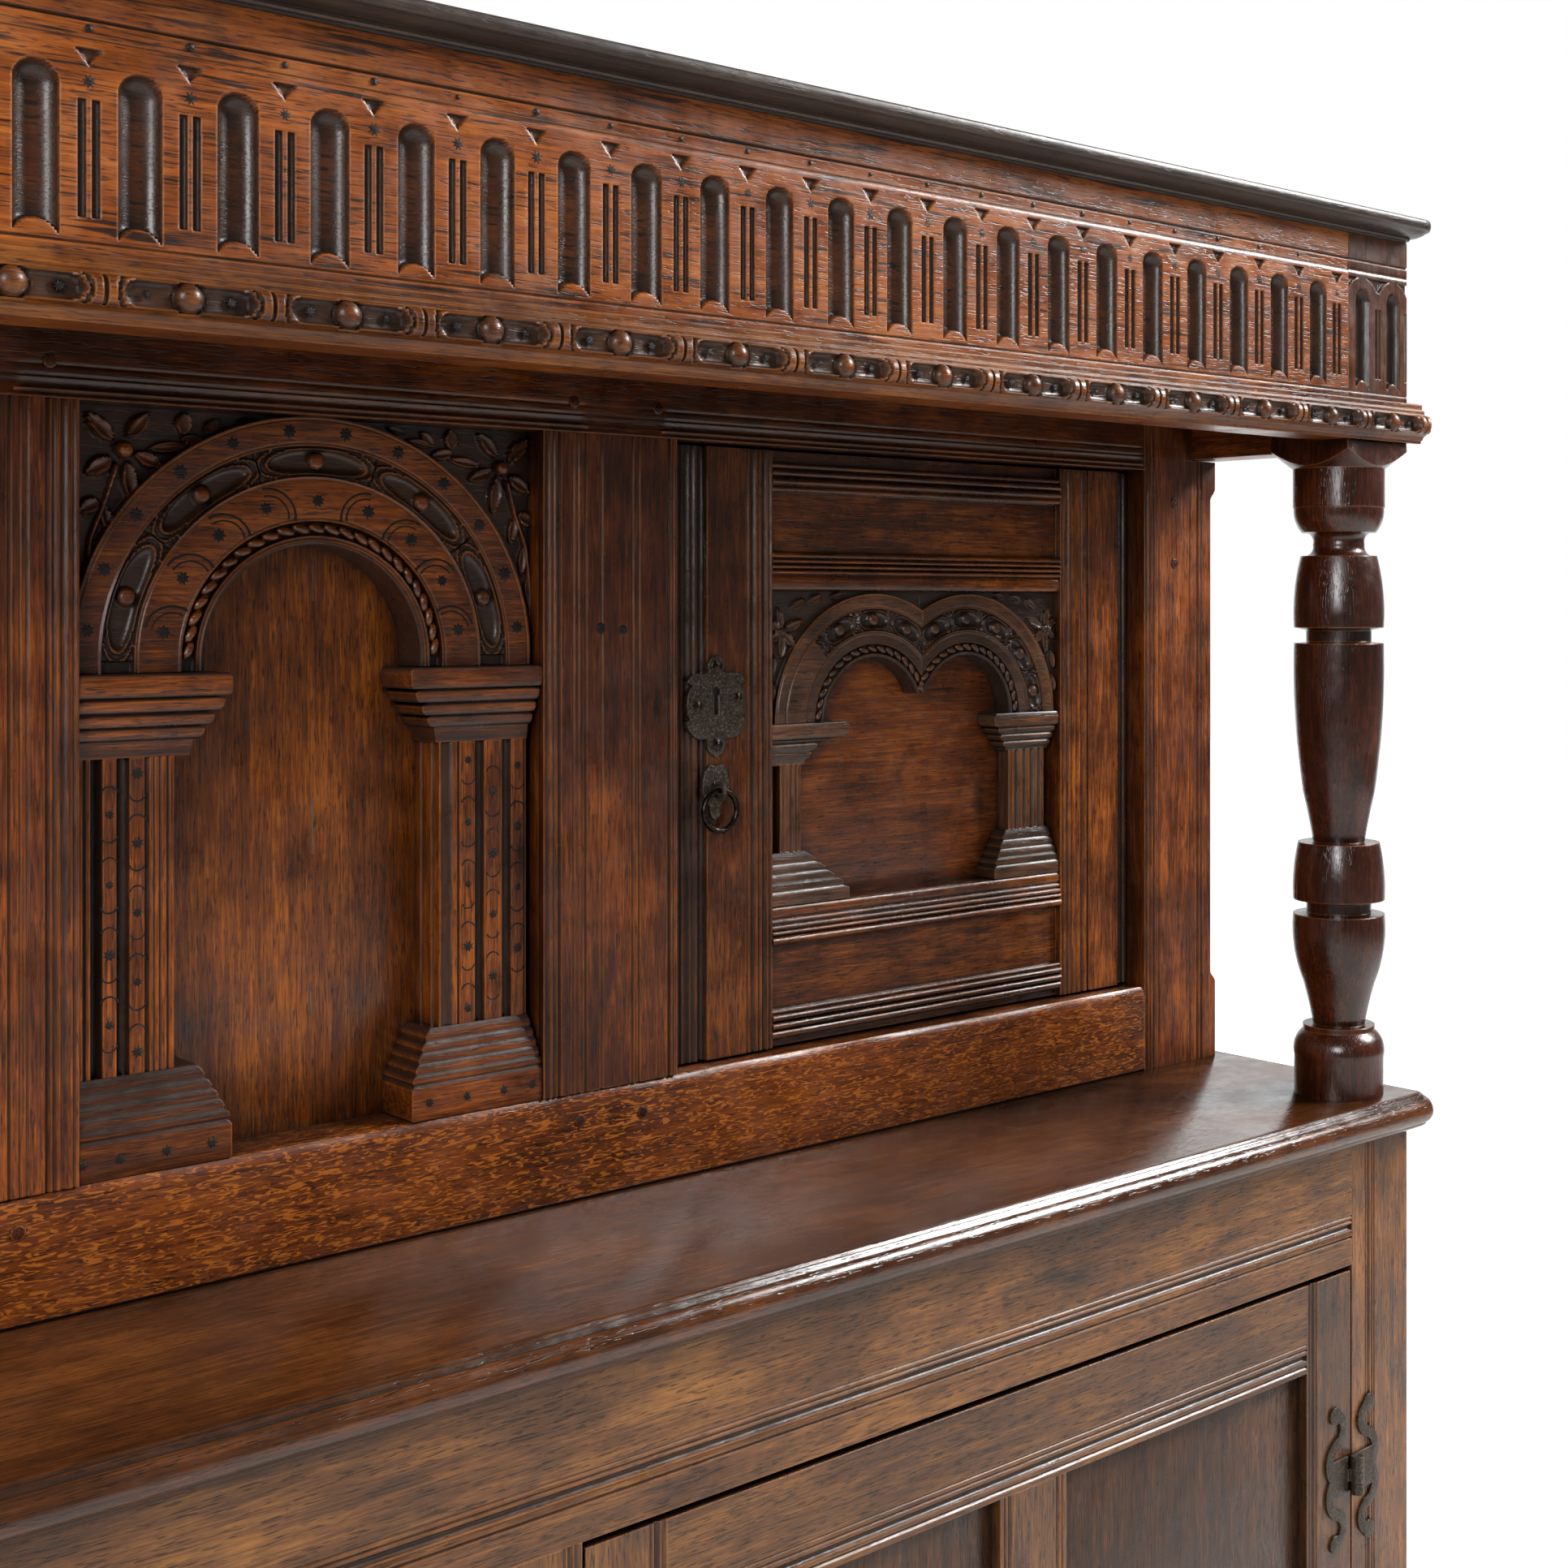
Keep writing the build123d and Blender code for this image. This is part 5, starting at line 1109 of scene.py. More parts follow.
# the two are not alike: their reeds, flutes and bands stand at different places
pilaster_right = upright(77.0, 136.4, ((81.9, 7.4, 1.7), (89.9, 1.7, 1.3), (104.4, 6.0, 4.8),
                                       (122.9, 6.6, 4.8), (135.6, 1.6, 1.6)),
                         ((-34.0, 2.0, 1.2), (-46.8, 2.4, 1.5)), 0.45)
pilaster_left = upright(83.6, 137.0, ((87.0, 1.6, 1.1), (91.2, 1.4, 0.9), (94.4, 1.2, 0.8),
                                      (98.3, 2.4, 1.8), (111.1, 6.8, 4.8), (125.5, 6.2, 6.5),
                                      (132.0, 1.6, 1.1)), ((-40.0, 2.0, 1.2),), 0.62)
remade(pilaster_right + pilaster_left.mirrored(), "pilasters", OAK_CARVED, "arch_pilasters",
       angle=30)

# ------------------------------------------------------------------ upper cupboard's frame
FACE_BACK = -14.5


MUNTIN_FACE = 6.0         # thickness of the muntins' scratched face, laid on their mortised body


def muntin(inner, own):
    """The face of the frame member beside the centre arch."""
    return member(inner, 243.0, OPENING_LOW, OPENING_HIGH, FACE, FACE + MUNTIN_FACE,
                  ((140.6, 1.6, 1.0), (146.0, 3.6, 1.3), (150.5, 2.0, 1.2), (154.4, 2.2, 1.6),
                   (164.4, 1.4, 0.8), (168.0, 1.2, 0.7), (173.3, 1.8, 1.2), (185.3, 1.3, 0.9),
                   (208.5, 1.4, 1.0), (213.5, 1.4, 1.0), (228.0, 1.0, 0.5), (236.7, 2.6, 1.8),
                   (240.2, 1.4, 0.9)), 2, own)


def behind_face(place):
    """Sets a muntin's own front back behind the scratched face laid over it."""
    x, y, z = place
    return (x, max(y, FACE + MUNTIN_FACE - 0.5), z)


for hand, face_piece in (("right", muntin(143.0, 0.2)), ("left", muntin(138.0, 0.57).mirrored())):
    node = f"upper_muntin_{hand}"
    REMADE.add(node)
    dress(node, BODY_OF[node], OAK, SLOT_OF[node], arris=0, grain=2, shape=behind_face)
    keep(face_piece.mesh(f"muntin_{hand}"), f"muntin_{hand}", BODY_OF[node], OAK, SLOT_OF[node])

# the top rail's edge moulding is scratched between stops over each bay
rail_cuts = ((1417.0, 1.8, 1.3), (1421.4, 4.6, 1.5), (1425.6, 1.8, 1.3), (1431.6, 1.6, 1.0))
top_rail = member(-697.0, 697.0, OPENING_HIGH, CORNICE, FACE, FACE_BACK, rail_cuts, 0, own=0.05,
                  stops=(-692.0, -234.0, -168.0, 172.0, 234.0, 692.0), pitch=0.8)
remade(top_rail, "top_rail", OAK, "upper_top_rail")


def worn_sill(x, z):
    """The bottom rail's face: its upper arris is worn round and nicked, and a dark gap runs
    along its foot."""
    worn = 2.6 * np.clip((z - 990.5) / 7.5, 0, 1) ** 2.2
    worn = worn * (1 + 0.35 * np.sin(x / 23.0) * np.sin(x / 57.0 + 1.0))
    return np.where(z < 931.8, 2.6, worn)


# the strip at its foot is set full of wax: painted shade in the gap under the rail
bottom_rail = relief(np.linspace(-697, 697, 160),
                     np.array([930, 931.7, 932.1, 940, 960, 980, 990.5, 992, 993.5, 995, 996.2,
                               997.2, 998]),
                     worn_sill, FACE, FACE_BACK, 0, own=0.8,
                     wax=lambda x, z, cut: 1.0 * (z < 931.8))
remade(bottom_rail, "bottom_rail", OAK_RAIL, "upper_bottom_rail", angle=50)


def stile_edge(z):
    """Where the end stile's outer side stands: it is hollowed between its two stops."""
    hollowed = step(992.0, 1001.0, z) * (1 - step(1392.0, 1402.0, z))
    return np.where(z > 1424.0, 754.0, 784.0 - 6.0 * hollowed)


stile_z = np.concatenate([[930.0, 992.0], np.linspace(993, 1001, 7), [1390.0],
                          np.linspace(1392, 1402, 8), [1423.9, 1424.1, CORNICE]])
stile_share = np.linspace(0, 1, 110)
edge = stile_edge(stile_z)[:, None]
stile_x = 697.0 + (edge - 697.0) * stile_share[None, :]
stile_cut = lines(stile_x, ((699.6, 3.0, 1.6), (703.6, 1.8, 1.2), (708.2, 2.6, 1.6),
                            (714.0, 1.2, 0.8), (752.0, 1.1, 0.6), (761.6, 1.8, 1.3),
                            (766.4, 1.8, 1.3)))
end_stile = closed_sheet(stile_x, FACE + stile_cut, np.broadcast_to(stile_z[:, None],
                                                                    stile_x.shape),
                         FACE_BACK, settled_wax(stile_cut, 2.0, 0.75), 2, 0.66)
remade_pair(end_stile, "end_stile_{}", OAK, "upper_end_stile_{}")

# ------------------------------------------------------------------ upper doors
DOOR = -51.5              # the doors' face
DOOR_BACK = -19.5
DOOR_RAIL = -46.5         # their rails stand a little behind it
DOOR_PANEL = -30.5
FIELD = (332.0, 614.5)    # between the right door's stiles


def sunk_edge(cuts, low, high, depth):
    """Scratched lines on a stile with one edge sunk to a lower level."""
    def cut(x, z):
        return np.maximum(lines(x, cuts), depth * step(low - 0.4, low + 0.4, x)
                          * (1 - step(high - 0.4, high + 0.4, x))
                          + lines(x, cuts) * (x > low) * (x < high))
    return cut


def stile_relief(low, high, depth, own):
    """An upright of the door."""
    return relief(spaced(low, high, 0.7), np.array([1000.0, 1412.0]), depth, DOOR, DOOR_BACK, 2,
                  own, wax=lambda x, z, cut: settled_wax(cut, 2.4, 0.8))


lock_stile = stile_relief(245.0, 332.0, sunk_edge(
    ((248.2, 2.0, 1.1), (252.4, 2.2, 1.2), (256.0, 1.6, 1.0), (261.0, 3.4, 1.5), (266.4, 2.4, 1.2),
     (273.6, 6.4, 3.2), (310.6, 1.5, 1.0), (315.6, 3.8, 1.8), (320.4, 2.0, 1.2), (325.4, 4.2, 2.0),
     (330.0, 2.0, 1.4)), 244.0, 276.0, 1.6), 0.15)
hinge_stile = stile_relief(614.5, 695.5, sunk_edge(
    ((617.6, 2.2, 1.4), (622.4, 3.0, 1.6), (627.0, 1.6, 1.0), (632.0, 1.4, 0.8), (638.4, 2.6, 1.4),
     (645.4, 2.4, 2.0), (686.0, 3.0, 1.8), (691.2, 2.4, 1.6)), 681.0, 697.0, 5.0), 0.95)
door_frame = lock_stile + hinge_stile
for low, high, own in ((1000.0, 1096.5, 0.35), (1315.5, 1412.0, 0.25)):
    door_frame = door_frame + relief(np.array(FIELD), np.array([low, high]),
                                     lambda x, z: 0.0 * x, DOOR_RAIL, DOOR_BACK, 0, own)
remade_pair(door_frame, "upper_{}_door", OAK_DOOR, "upper_{}_door_frame")


def planted(z0, height, reeds, own):
    """A strip of moulding planted on a door rail; each reed is (middle, half width, proud)."""
    v = np.linspace(0, 1, 46)
    proud = np.full_like(v, 2.4)
    for middle, half, rise in reeds:
        inside = np.clip(1 - ((v - middle) / half) ** 2, 0, 1)
        proud = np.maximum(proud, 2.4 + (rise - 2.4) * inside ** 0.42)
    xs = np.linspace(*FIELD, 40)
    y = np.repeat((DOOR_RAIL - proud)[:, None], len(xs), 1)
    # the low faces between the reeds darken: old wax and painted shade
    wax = np.repeat(np.clip((4.2 - proud) / 2.4, 0, 1)[:, None] * 0.85, len(xs), 1)
    return section_run(xs, z0 + height * v, y, DOOR_RAIL, wax, own, True, True)


strips = (planted(1383.0, 21.0, ((0.14, 0.11, 5.0), (0.38, 0.13, 6.4), (0.66, 0.12, 6.0),
                                 (0.90, 0.09, 4.6)), 0.1)
          + planted(1315.5, 27.0, ((0.20, 0.19, 4.4), (0.47, 0.06, 5.6), (0.61, 0.06, 6.2),
                                   (0.75, 0.06, 6.6), (0.90, 0.08, 5.6)), 0.8)
          + planted(1069.5, 27.0, ((0.13, 0.12, 7.0), (0.33, 0.06, 6.0), (0.47, 0.07, 5.2),
                                   (0.62, 0.06, 4.6), (0.84, 0.15, 4.2)), 0.5)
          + planted(1005.0, 21.0, ((0.16, 0.14, 6.0), (0.45, 0.12, 7.0), (0.72, 0.12, 6.8),
                                   (0.92, 0.07, 5.0)), 0.3))
remade_pair(strips, "upper_{}_door_reeds", OAK_DOOR, "upper_{}_door_mouldings", angle=45)

# the double arch; its middle pillar is lost, and the cusp above it is broken
DOOR_SPRING = 1222.5
DOOR_ARCH = -48.5
CENTRE = 473.25
HALF_PITCH = 45.5
DOOR_CHANNEL = (64.0, 80.5, 7)


def door_arch_cut(radius, angle, worn):
    """Depth of the door arches' carving, whose channel is worn away up to an angle."""
    cut = channel_cut(radius, angle, DOOR_CHANNEL, 0.5, worn)
    cut = np.maximum(cut, lines(radius, ((89.4, 1.0, 0.6), (81.4, 1.3, 0.9), (63.0, 1.5, 1.2),
                                         (60.0, 1.6, 1.2), (56.8, 2.0, 1.4))))
    cut = np.maximum(cut, 1.2 * (1 - step(61.8, 62.6, radius)))
    cut = np.maximum(cut, trench(radius, 48.0, 54.4, 4.0, 0.6))
    return np.maximum(cut, 2.4 * (1 - step(46.6, 47.4, radius)))


door_radii = np.concatenate([[45.5, 46.6, 47.4, 48.0, 48.8, 50.5, 53.0, 54.0, 54.9, 55.8, 56.8,
                              57.8, 59.2, 60.0, 60.8, 61.6, 62.4, 63.0, 63.5],
                             np.linspace(64.0, 80.5, 19), [81.0, 81.4, 82.0, 85.0, 88.8, 89.4,
                                                           90.0, 91.0]])
share = np.linspace(0, 1, 200)
last = np.minimum(math.pi - np.arccos(np.clip(HALF_PITCH / door_radii, 0, 1)),
                  math.pi - np.arcsin(18.0 / door_radii))
door_angles = last[:, None] * (1 - share[None, :])
ring_radii = np.repeat(door_radii[:, None], len(share), 1)


def half_arch(worn):
    """One of a door's two arches, up to the cusp between them."""
    return half_ring(CENTRE + HALF_PITCH, DOOR_SPRING, ring_radii, door_angles,
                     lambda r, a: door_arch_cut(r, a, worn), DOOR_ARCH, DOOR_PANEL, 0, 0.4,
                     wax=lambda r, a, cut: channel_wax(r, a, cut, DOOR_CHANNEL, worn))


DOOR_FLOWER = (602.0, 1287.0)
DOOR_LEAVES = [(DOOR_FLOWER[0] + 2 * math.cos(math.radians(turn)),
                DOOR_FLOWER[1] + 2 * math.sin(math.radians(turn)), turn, length, 7.0)
               for turn, length in ((78, 15), (28, 12), (-32, 11), (-88, 17), (-136, 14), (158, 18))]
DOOR_LEAVES += [(611, 1256, 98, 15, 5.5), (612, 1238, 100, 14, 5), (582, 1309, -28, 14, 6),
                (566, 1312, -20, 13, 5.5), (548, 1313, -14, 11, 5)]


def door_corner():
    """The sunk ground outside one of the door's arches, with its flower and leaves."""
    angles = np.linspace(math.radians(119.6), 0.0, 170)
    up = 93.0 / np.sin(np.maximum(angles, 1e-3))
    out = np.where(angles < math.pi / 2, 95.75, HALF_PITCH) / np.abs(np.cos(angles))
    reach = np.maximum(np.minimum(up, out), 90.7)
    radii = 90.4 + (reach - 90.4) * np.linspace(0, 1, 42)[:, None]
    angle = np.broadcast_to(angles, radii.shape)
    x = CENTRE + HALF_PITCH + radii * np.cos(angle)
    z = DOOR_SPRING + radii * np.sin(angle)
    share = np.zeros_like(x)
    for *place, turn, length, width in DOOR_LEAVES:
        share = np.maximum(share, leaf(x, z, place, math.radians(turn), length, width))
    ring = np.hypot(x - DOOR_FLOWER[0], z - DOOR_FLOWER[1])
    height = np.where(ring < 2.8, 2.6 + 1.3 * np.sqrt(np.clip(1 - (ring / 2.8) ** 2, 0, 1)),
                      3.6 * share)
    return closed_sheet(x, -44.5 - height, z, DOOR_PANEL, leaf_wax(share), 0, 0.55)


remade_pair(half_arch(UNWORN) + door_corner()
            + (half_arch(0.8) + door_corner()).mirrored(CENTRE),
            "upper_{}_door_arches", OAK_DUSTY_SHADED, "upper_{}_door_arch", angle=30)

# capitals, pilasters and bases; the left capital keeps only its long top slab
door_capital = [(0, 0.0), (2, 0.04), (3.4, 0.2), (6, 0.24), (7, 0.18), (8.6, 0.4), (11.4, 0.46),
                (12.4, 0.4), (14, 0.62), (17, 0.68), (18, 0.6), (19, 0.9), (21, 0.98), (25, 1.0),
                (28, 0.94), (29, 0.86)]
slab_capital = [(0, 0.0), (3, 0.03), (4.6, 0.12), (7.5, 0.16), (8.5, 0.12), (10.5, 0.26),
                (13.5, 0.3), (14.5, 0.24), (16, 0.5), (17.4, 0.58), (18.4, 0.88), (20.4, 0.97),
                (25, 1.0), (28, 0.97), (29, 0.9)]
door_base = [(0, 0.95), (1, 1.0), (8, 1.0), (9, 0.94), (10, 0.84), (12, 0.88), (15, 0.8),
             (16, 0.66), (18, 0.68), (21, 0.56), (22, 0.44), (24, 0.48), (27, 0.36), (28.5, 0.22),
             (30, 0.26), (33, 0.16), (36, 0.0)]
capital_low = DOOR_SPRING - 29.0
pillars = (stack(door_capital, 614.5, 563.0, 544.75, -43.5, -50.5, DOOR_PANEL, capital_low,
                 own=0.5, inset=7.0)
           + stack(door_base, 614.5, 563.0, 544.75, -43.5, -50.5, DOOR_PANEL, 1096.5, own=0.2,
                   inset=7.0)
           + stack(slab_capital, 332.0, 366.0, 401.75, -43.5, -50.5, DOOR_PANEL, capital_low,
                   own=0.9)
           + stack(door_base, 332.0, 366.0, 401.75, -43.5, -50.5, DOOR_PANEL, 1096.5, own=0.8))
for low, high, cuts, own in ((566.0, 604.0, ((569.0, 1.4, 1.0), (574.4, 3.2, 2.2),
                                             (582.4, 3.2, 2.2), (590.6, 3.2, 2.2),
                                             (598.6, 3.2, 2.2)), 0.6),
                             (345.0, 363.0, ((348.0, 1.4, 0.9), (354.6, 1.8, 1.2),
                                             (359.4, 1.6, 1.0)), 0.7)):
    pillars = pillars + member(low, high, 1132.0, capital_low + 0.5, -43.5, DOOR_PANEL, cuts, 2,
                               own)
remade_pair(pillars, "upper_{}_door_pilasters", OAK_DUSTY_SHADED, "upper_{}_door_pillars", angle=26)

# ------------------------------------------------------------------ lower stage
lower_lines = ((848.4, 1.3, 0.8), (845.0, 1.6, 1.0), (840.4, 4.6, 2.4), (836.4, 1.4, 0.7),
               (832.6, 1.8, 1.4))
remade(member(-719.0, 719.0, 812.0, 902.0, FRONT, FRONT + 32.0, lower_lines, 0, own=0.6),
       "lower_top_rail_face", OAK_LOWER, "lower_top_rail")
remade_pair(member(719.0, 789.0, 0.0, 902.0, FRONT, FRONT + 50.0,
                   ((736.0, 1.6, 1.1), (739.4, 3.0, 1.8), (743.6, 1.6, 1.1), (746.6, 1.4, 1.0)), 2,
                   own=0.9), "lower_stile_{}", OAK_LOWER, "lower_front_stile_{}")
remade(member(-50.0, 50.0, 200.0, 812.0, FRONT, FRONT + 32.0,
              ((-46.0, 1.6, 1.0), (-42.6, 3.0, 1.6), (-39.0, 1.4, 0.9), (39.0, 1.4, 0.9),
               (42.6, 3.0, 1.6), (46.0, 1.6, 1.0)), 2, own=0.3), "centre_stile", OAK_LOWER,
       "lower_centre_stile")

# the right door's two stiles, muntin and two rails: low and high x and z, scratched lines,
# grain and own number
first_stile, *more_members = [
    member(*place, FRONT, FRONT + 25.0, cuts, grain, own) for *place, cuts, grain, own in (
        (52.0, 104.0, 204.0, 808.0, ((93.0, 1.6, 1.0), (97.2, 3.4, 1.9), (101.2, 1.6, 1.0)), 2, 0.4),
        (665.0, 717.0, 204.0, 808.0, ((667.8, 1.6, 1.0), (671.8, 3.4, 1.9), (676.0, 1.6, 1.0)), 2,
         0.1),
        (355.0, 414.0, 268.0, 744.0, ((359.0, 1.5, 1.0), (363.0, 2.6, 1.4), (406.0, 2.6, 1.4),
                                      (410.0, 1.5, 1.0)), 2, 0.75),
        (104.0, 665.0, 744.0, 808.0, ((765.0, 1.2, 0.8), (761.0, 1.6, 1.0), (755.6, 4.8, 2.4),
                                      (749.0, 1.8, 1.4)), 0, 0.3),
        (104.0, 665.0, 204.0, 268.0, ((264.0, 1.6, 1.2),), 0, 0.5))]
remade_pair(sum(more_members, first_stile), "lower_{}_door", OAK_LOWER, "lower_{}_door_frame")

# ------------------------------------------------------------------ cornice and ledge


def tray(section, corner, y_back, grain=0, own=0.5):
    """A board moulded round its front and sides: section is (height, proud, wax and painted shade)
    from its underside upwards, and corner the radius of its corners where it stands proud by nothing."""
    turns = np.linspace(0, math.pi / 2, 9)
    points, faces, wax = [], [], []
    for z, proud, wax_and_shade in section:
        radius = corner + proud
        arc = [(OUTER - corner + radius * math.cos(t), FRONT + corner - radius * math.sin(t))
               for t in turns]
        loop = [(OUTER + proud, y_back), *arc]
        loop = loop + [(-x, y) for x, y in loop[::-1]]
        points += [(x, y, z) for x, y in loop]
        wax += [wax_and_shade] * len(loop)
    count = len(loop)
    for level in range(len(section) - 1):
        for i in range(count):
            j = (i + 1) % count
            faces.append((level * count + j, level * count + i, (level + 1) * count + i,
                          (level + 1) * count + j))
    faces.append(tuple(range(count)))
    faces.append(tuple(range((len(section) - 1) * count, len(section) * count))[::-1])
    return Carving(points, faces, wax, grain, own)


# the third values darken the underside and the cove: old wax and painted shade under the overhang
cornice_section = [(1584.0, 1.0, 0.9), (1585.2, 1.0, 0.8), (1585.4, 3.4, 0.3), (1586.6, 4.2, 0.1),
                   (1587.6, 3.8, 0.5), (1587.9, 4.6, 0.7), (1588.2, 8.0, 0.5), (1588.9, 11.6, 0.4),
                   (1590.2, 14.8, 0.3), (1591.6, 16.6, 0.3), (1592.0, 17.6, 0.5), (1592.4, 18.9, 0.0),
                   (1593.4, 19.6, 0.0), (1596.0, 20.0, 0.05), (1598.6, 19.8, 0.0),
                   (1599.7, 19.0, 0.0), (1600.0, 17.8, 0.1)]
remade(tray(cornice_section, 4.0, BACK, own=0.35), "cornice", OAK_CORNICE, "cornice_board",
       angle=40)
# the third values darken the underside and the quirks: old wax and painted shade
ledge_section = [(902.0, 5.0, 0.6), (902.8, 7.2, 0.3), (905.4, 12.6, 0.1), (907.2, 15.4, 0.5),
                 (908.8, 15.8, 0.5), (909.8, 17.8, 0.2), (911.4, 19.4, 0.0), (913.8, 20.6, 0.0),
                 (917.2, 21.0, 0.0), (920.4, 20.4, 0.0), (923.2, 19.0, 0.0), (925.2, 17.2, 0.0),
                 (926.2, 15.6, 0.1), (925.8, 14.4, 0.8), (926.4, 13.6, 0.9), (928.2, 13.0, 0.4),
                 (929.1, 11.8, 0.3), (928.8, 10.6, 0.5), (927.4, 9.9, 0.95), (927.8, 9.2, 0.9),
                 (929.4, 8.8, 0.3), (930.0, 8.0, 0.0)]
remade(tray(ledge_section, 1.0, BACK, own=0.6), "ledge", OAK_LEDGE, "ledge_board", angle=50)

# ------------------------------------------------------------------ columns
POST = (715.0, 789.0)


def post_cut(x, z):
    """The head of the right-hand column: two narrower flutes, slots and scratched lines."""
    middle = (POST[0] + POST[1]) / 2
    cut = np.zeros_like(x)
    v = z - SOFFIT
    outside = np.full_like(x, 99.0)
    for side in (-1, 1):
        across = x - middle - side * 19.5
        cut = np.maximum(cut, flute(across / 0.82, v, 6.0))
        outside = np.minimum(outside, np.hypot(across, v - 101.3) - 20.6)
    for slot in (-2.0, 2.0, 35.0):
        cut = np.maximum(cut, trench(x - middle, slot - 1.1, slot + 1.1, 2.4, 0.5)
                         * step(46.6, 47.4, v) * (1 - step(98.6, 99.4, v)))
    cut = np.maximum(cut, between_heads(outside, v))
    return np.maximum(cut, lines(v, ((35.5, 1.8, 0.8), (126.0, 1.3, 0.6), (134.3, 2.0, 1.4))))


def post_wax(x, z, cut):
    """Wax and painted shade, darker with depth, in the column head's flutes, but little on its upper
    band.
    """
    return np.where(z - SOFFIT > 135.0, 0.25, np.clip(settled_wax(cut, 2.2, 0.85) + 0.1, 0, 1))


post_face = relief(spaced(*POST, 0.85), SOFFIT + frieze_v[1:], post_cut, FRONT, FRONT + 9.0, 2,
                   0.02, wax=post_wax)


def flat_headed(place):
    """Sets the column's own head back behind the carved face laid over it."""
    x, y, z = place
    return (x, FRONT + 8.0, z) if z > 1425.0 and y < FRONT + 8.0 else (x, y, z)


for hand, face_piece in (("right", post_face), ("left", post_face.mirrored())):
    node = f"column_{hand}"
    REMADE.add(node)
    dress(node, BODY_OF[node], OAK_DARK, SLOT_OF[node], arris=0.6, angle=24, grain=2,
          shape=flat_headed)
    keep(face_piece.mesh(f"post_face_{hand}", 30), f"post_face_{hand}", BODY_OF[node], OAK_CARVED,
         SLOT_OF[node])

# ------------------------------------------------------------------ small things set out
def disc(radius, height, sides, dome=0.0, point=1.0):
    """A small disc, star or peg facing the front; a star's inner points are at point."""
    mesh = bpy.data.meshes.new("disc")
    rim = [(radius * (1 if i % 2 == 0 else point) * math.cos(2 * math.pi * i / sides),
            radius * (1 if i % 2 == 0 else point) * math.sin(2 * math.pi * i / sides))
           for i in range(sides)]
    points = [(x, 0.6, z) for x, z in rim] + [(x, -height, z) for x, z in rim] \
        + [(0.0, -height - dome, 0.0), (0.0, 0.6, 0.0)]
    faces = []
    for i in range(sides):
        j = (i + 1) % sides
        faces += [(i, j, sides + j, sides + i), (sides + i, sides + j, 2 * sides),
                  (j, i, 2 * sides + 1)]
    mesh.from_pydata([tuple(c * MM for c in p) for p in points], [], faces)
    return mesh


def bead(length, radius):
    """A long bead for the carved rope, lying along X."""
    mesh = bpy.data.meshes.new("bead")
    mesh_edit = bmesh.new()
    bmesh.ops.create_uvsphere(mesh_edit, u_segments=10, v_segments=8, radius=radius * MM)
    for vert in mesh_edit.verts:
        vert.co.x *= length / radius
    smooth_by_angle(mesh_edit, 60)
    mesh_edit.to_mesh(mesh)
    mesh_edit.free()
    return mesh


def scribed_arc(radius, half_span, width):
    """A thin scribed arc that bows upwards, filled with wax."""
    mesh = bpy.data.meshes.new("arc")
    points, faces = [], []
    for i in range(11):
        angle = math.pi / 2 + half_span * (i / 5 - 1)
        for r, y in ((radius - width / 2, 0.4), (radius - width / 2, -0.12),
                     (radius + width / 2, -0.12), (radius + width / 2, 0.4)):
            points.append((r * math.cos(angle) * MM, y * MM, r * math.sin(angle) * MM))
    for i in range(0, 40, 4):
        faces += [(i + j, i + (j + 1) % 4, i + 4 + (j + 1) % 4, i + 4 + j) for j in range(4)]
    faces += [(3, 2, 1, 0), (40, 41, 42, 43)]
    mesh.from_pydata(points, [], faces)
    return mesh


# punched stars on the centre arch's two flat bands, with scribed arcs on their upper side
stars, arcs, arc_turns, arc_sizes = [], [], [], []
for radius, count in ((131.4, 12), (91.0, 9)):
    for i in range(count):
        angle = math.pi * (i + 0.5) / count
        stars.append((radius * math.cos(angle), ARCH_FRONT, SPRING + radius * math.sin(angle)))
        if count == 9 and i != 4:
            facing = angle + math.radians(60 if i < 4 else -60)
            for size in (1.0, 0.77):
                arcs.append((86.0 * math.cos(angle), ARCH_FRONT, SPRING + 86.0 * math.sin(angle)))
                arc_turns.append((0.0, math.pi / 2 - facing, 0.0))
                arc_sizes.append(size)
set_out("arch_stars", disc(4.2, 0.12, 16, point=0.62), stars, BODY_OF["arch_carving"], BLACK_WAX_AND_HOLE_SHADE,
        "oak_carved", size_spread=0.12, turn_spread=0.6, seed=5)
set_out("arch_scribing", scribed_arc(15.5, math.radians(55), 1.2), arcs, BODY_OF["arch_carving"],
        BLACK_WAX_AND_HOLE_SHADE, "oak_carved", turns=arc_turns, sizes=arc_sizes, size_spread=0.03,
        turn_spread=0.04, seed=15)

# the pilasters' bands: cells between pairs of arcs, with a star in the middle of each
cells = [(x, high - 37.8 * i) for x, high in ((96.4, 1211.0), (113.4, 1191.0), (130.4, 1206.0),
                                              (-103.5, 1214.0), (-118.5, 1192.5))
         for i in range(5) if high - 37.8 * i > 1056.0]
set_out("pilaster_stars", disc(3.1, 0.12, 16, point=0.55),
        [(x, ARCH_FRONT, z) for x, z in cells], BODY_OF["arch_pilasters"], BLACK_WAX_AND_HOLE_SHADE,
        "oak_carved", size_spread=0.25, turn_spread=0.6, seed=16)
ends = [(x, z + side * 10.4, side) for x, z in cells for side in (-1, 1)
        if 1060.0 < z + side * 15.0 < 1218.0]
set_out("pilaster_scribing", scribed_arc(4.6, math.radians(72), 0.9),
        [(x, ARCH_FRONT, z) for x, z, _ in ends], BODY_OF["arch_pilasters"], BLACK_WAX_AND_HOLE_SHADE,
        "oak_carved", turns=[(0.0, 0.0 if side > 0 else math.pi, 0.0) for *_, side in ends],
        size_spread=0.1, turn_spread=0.08, seed=17)
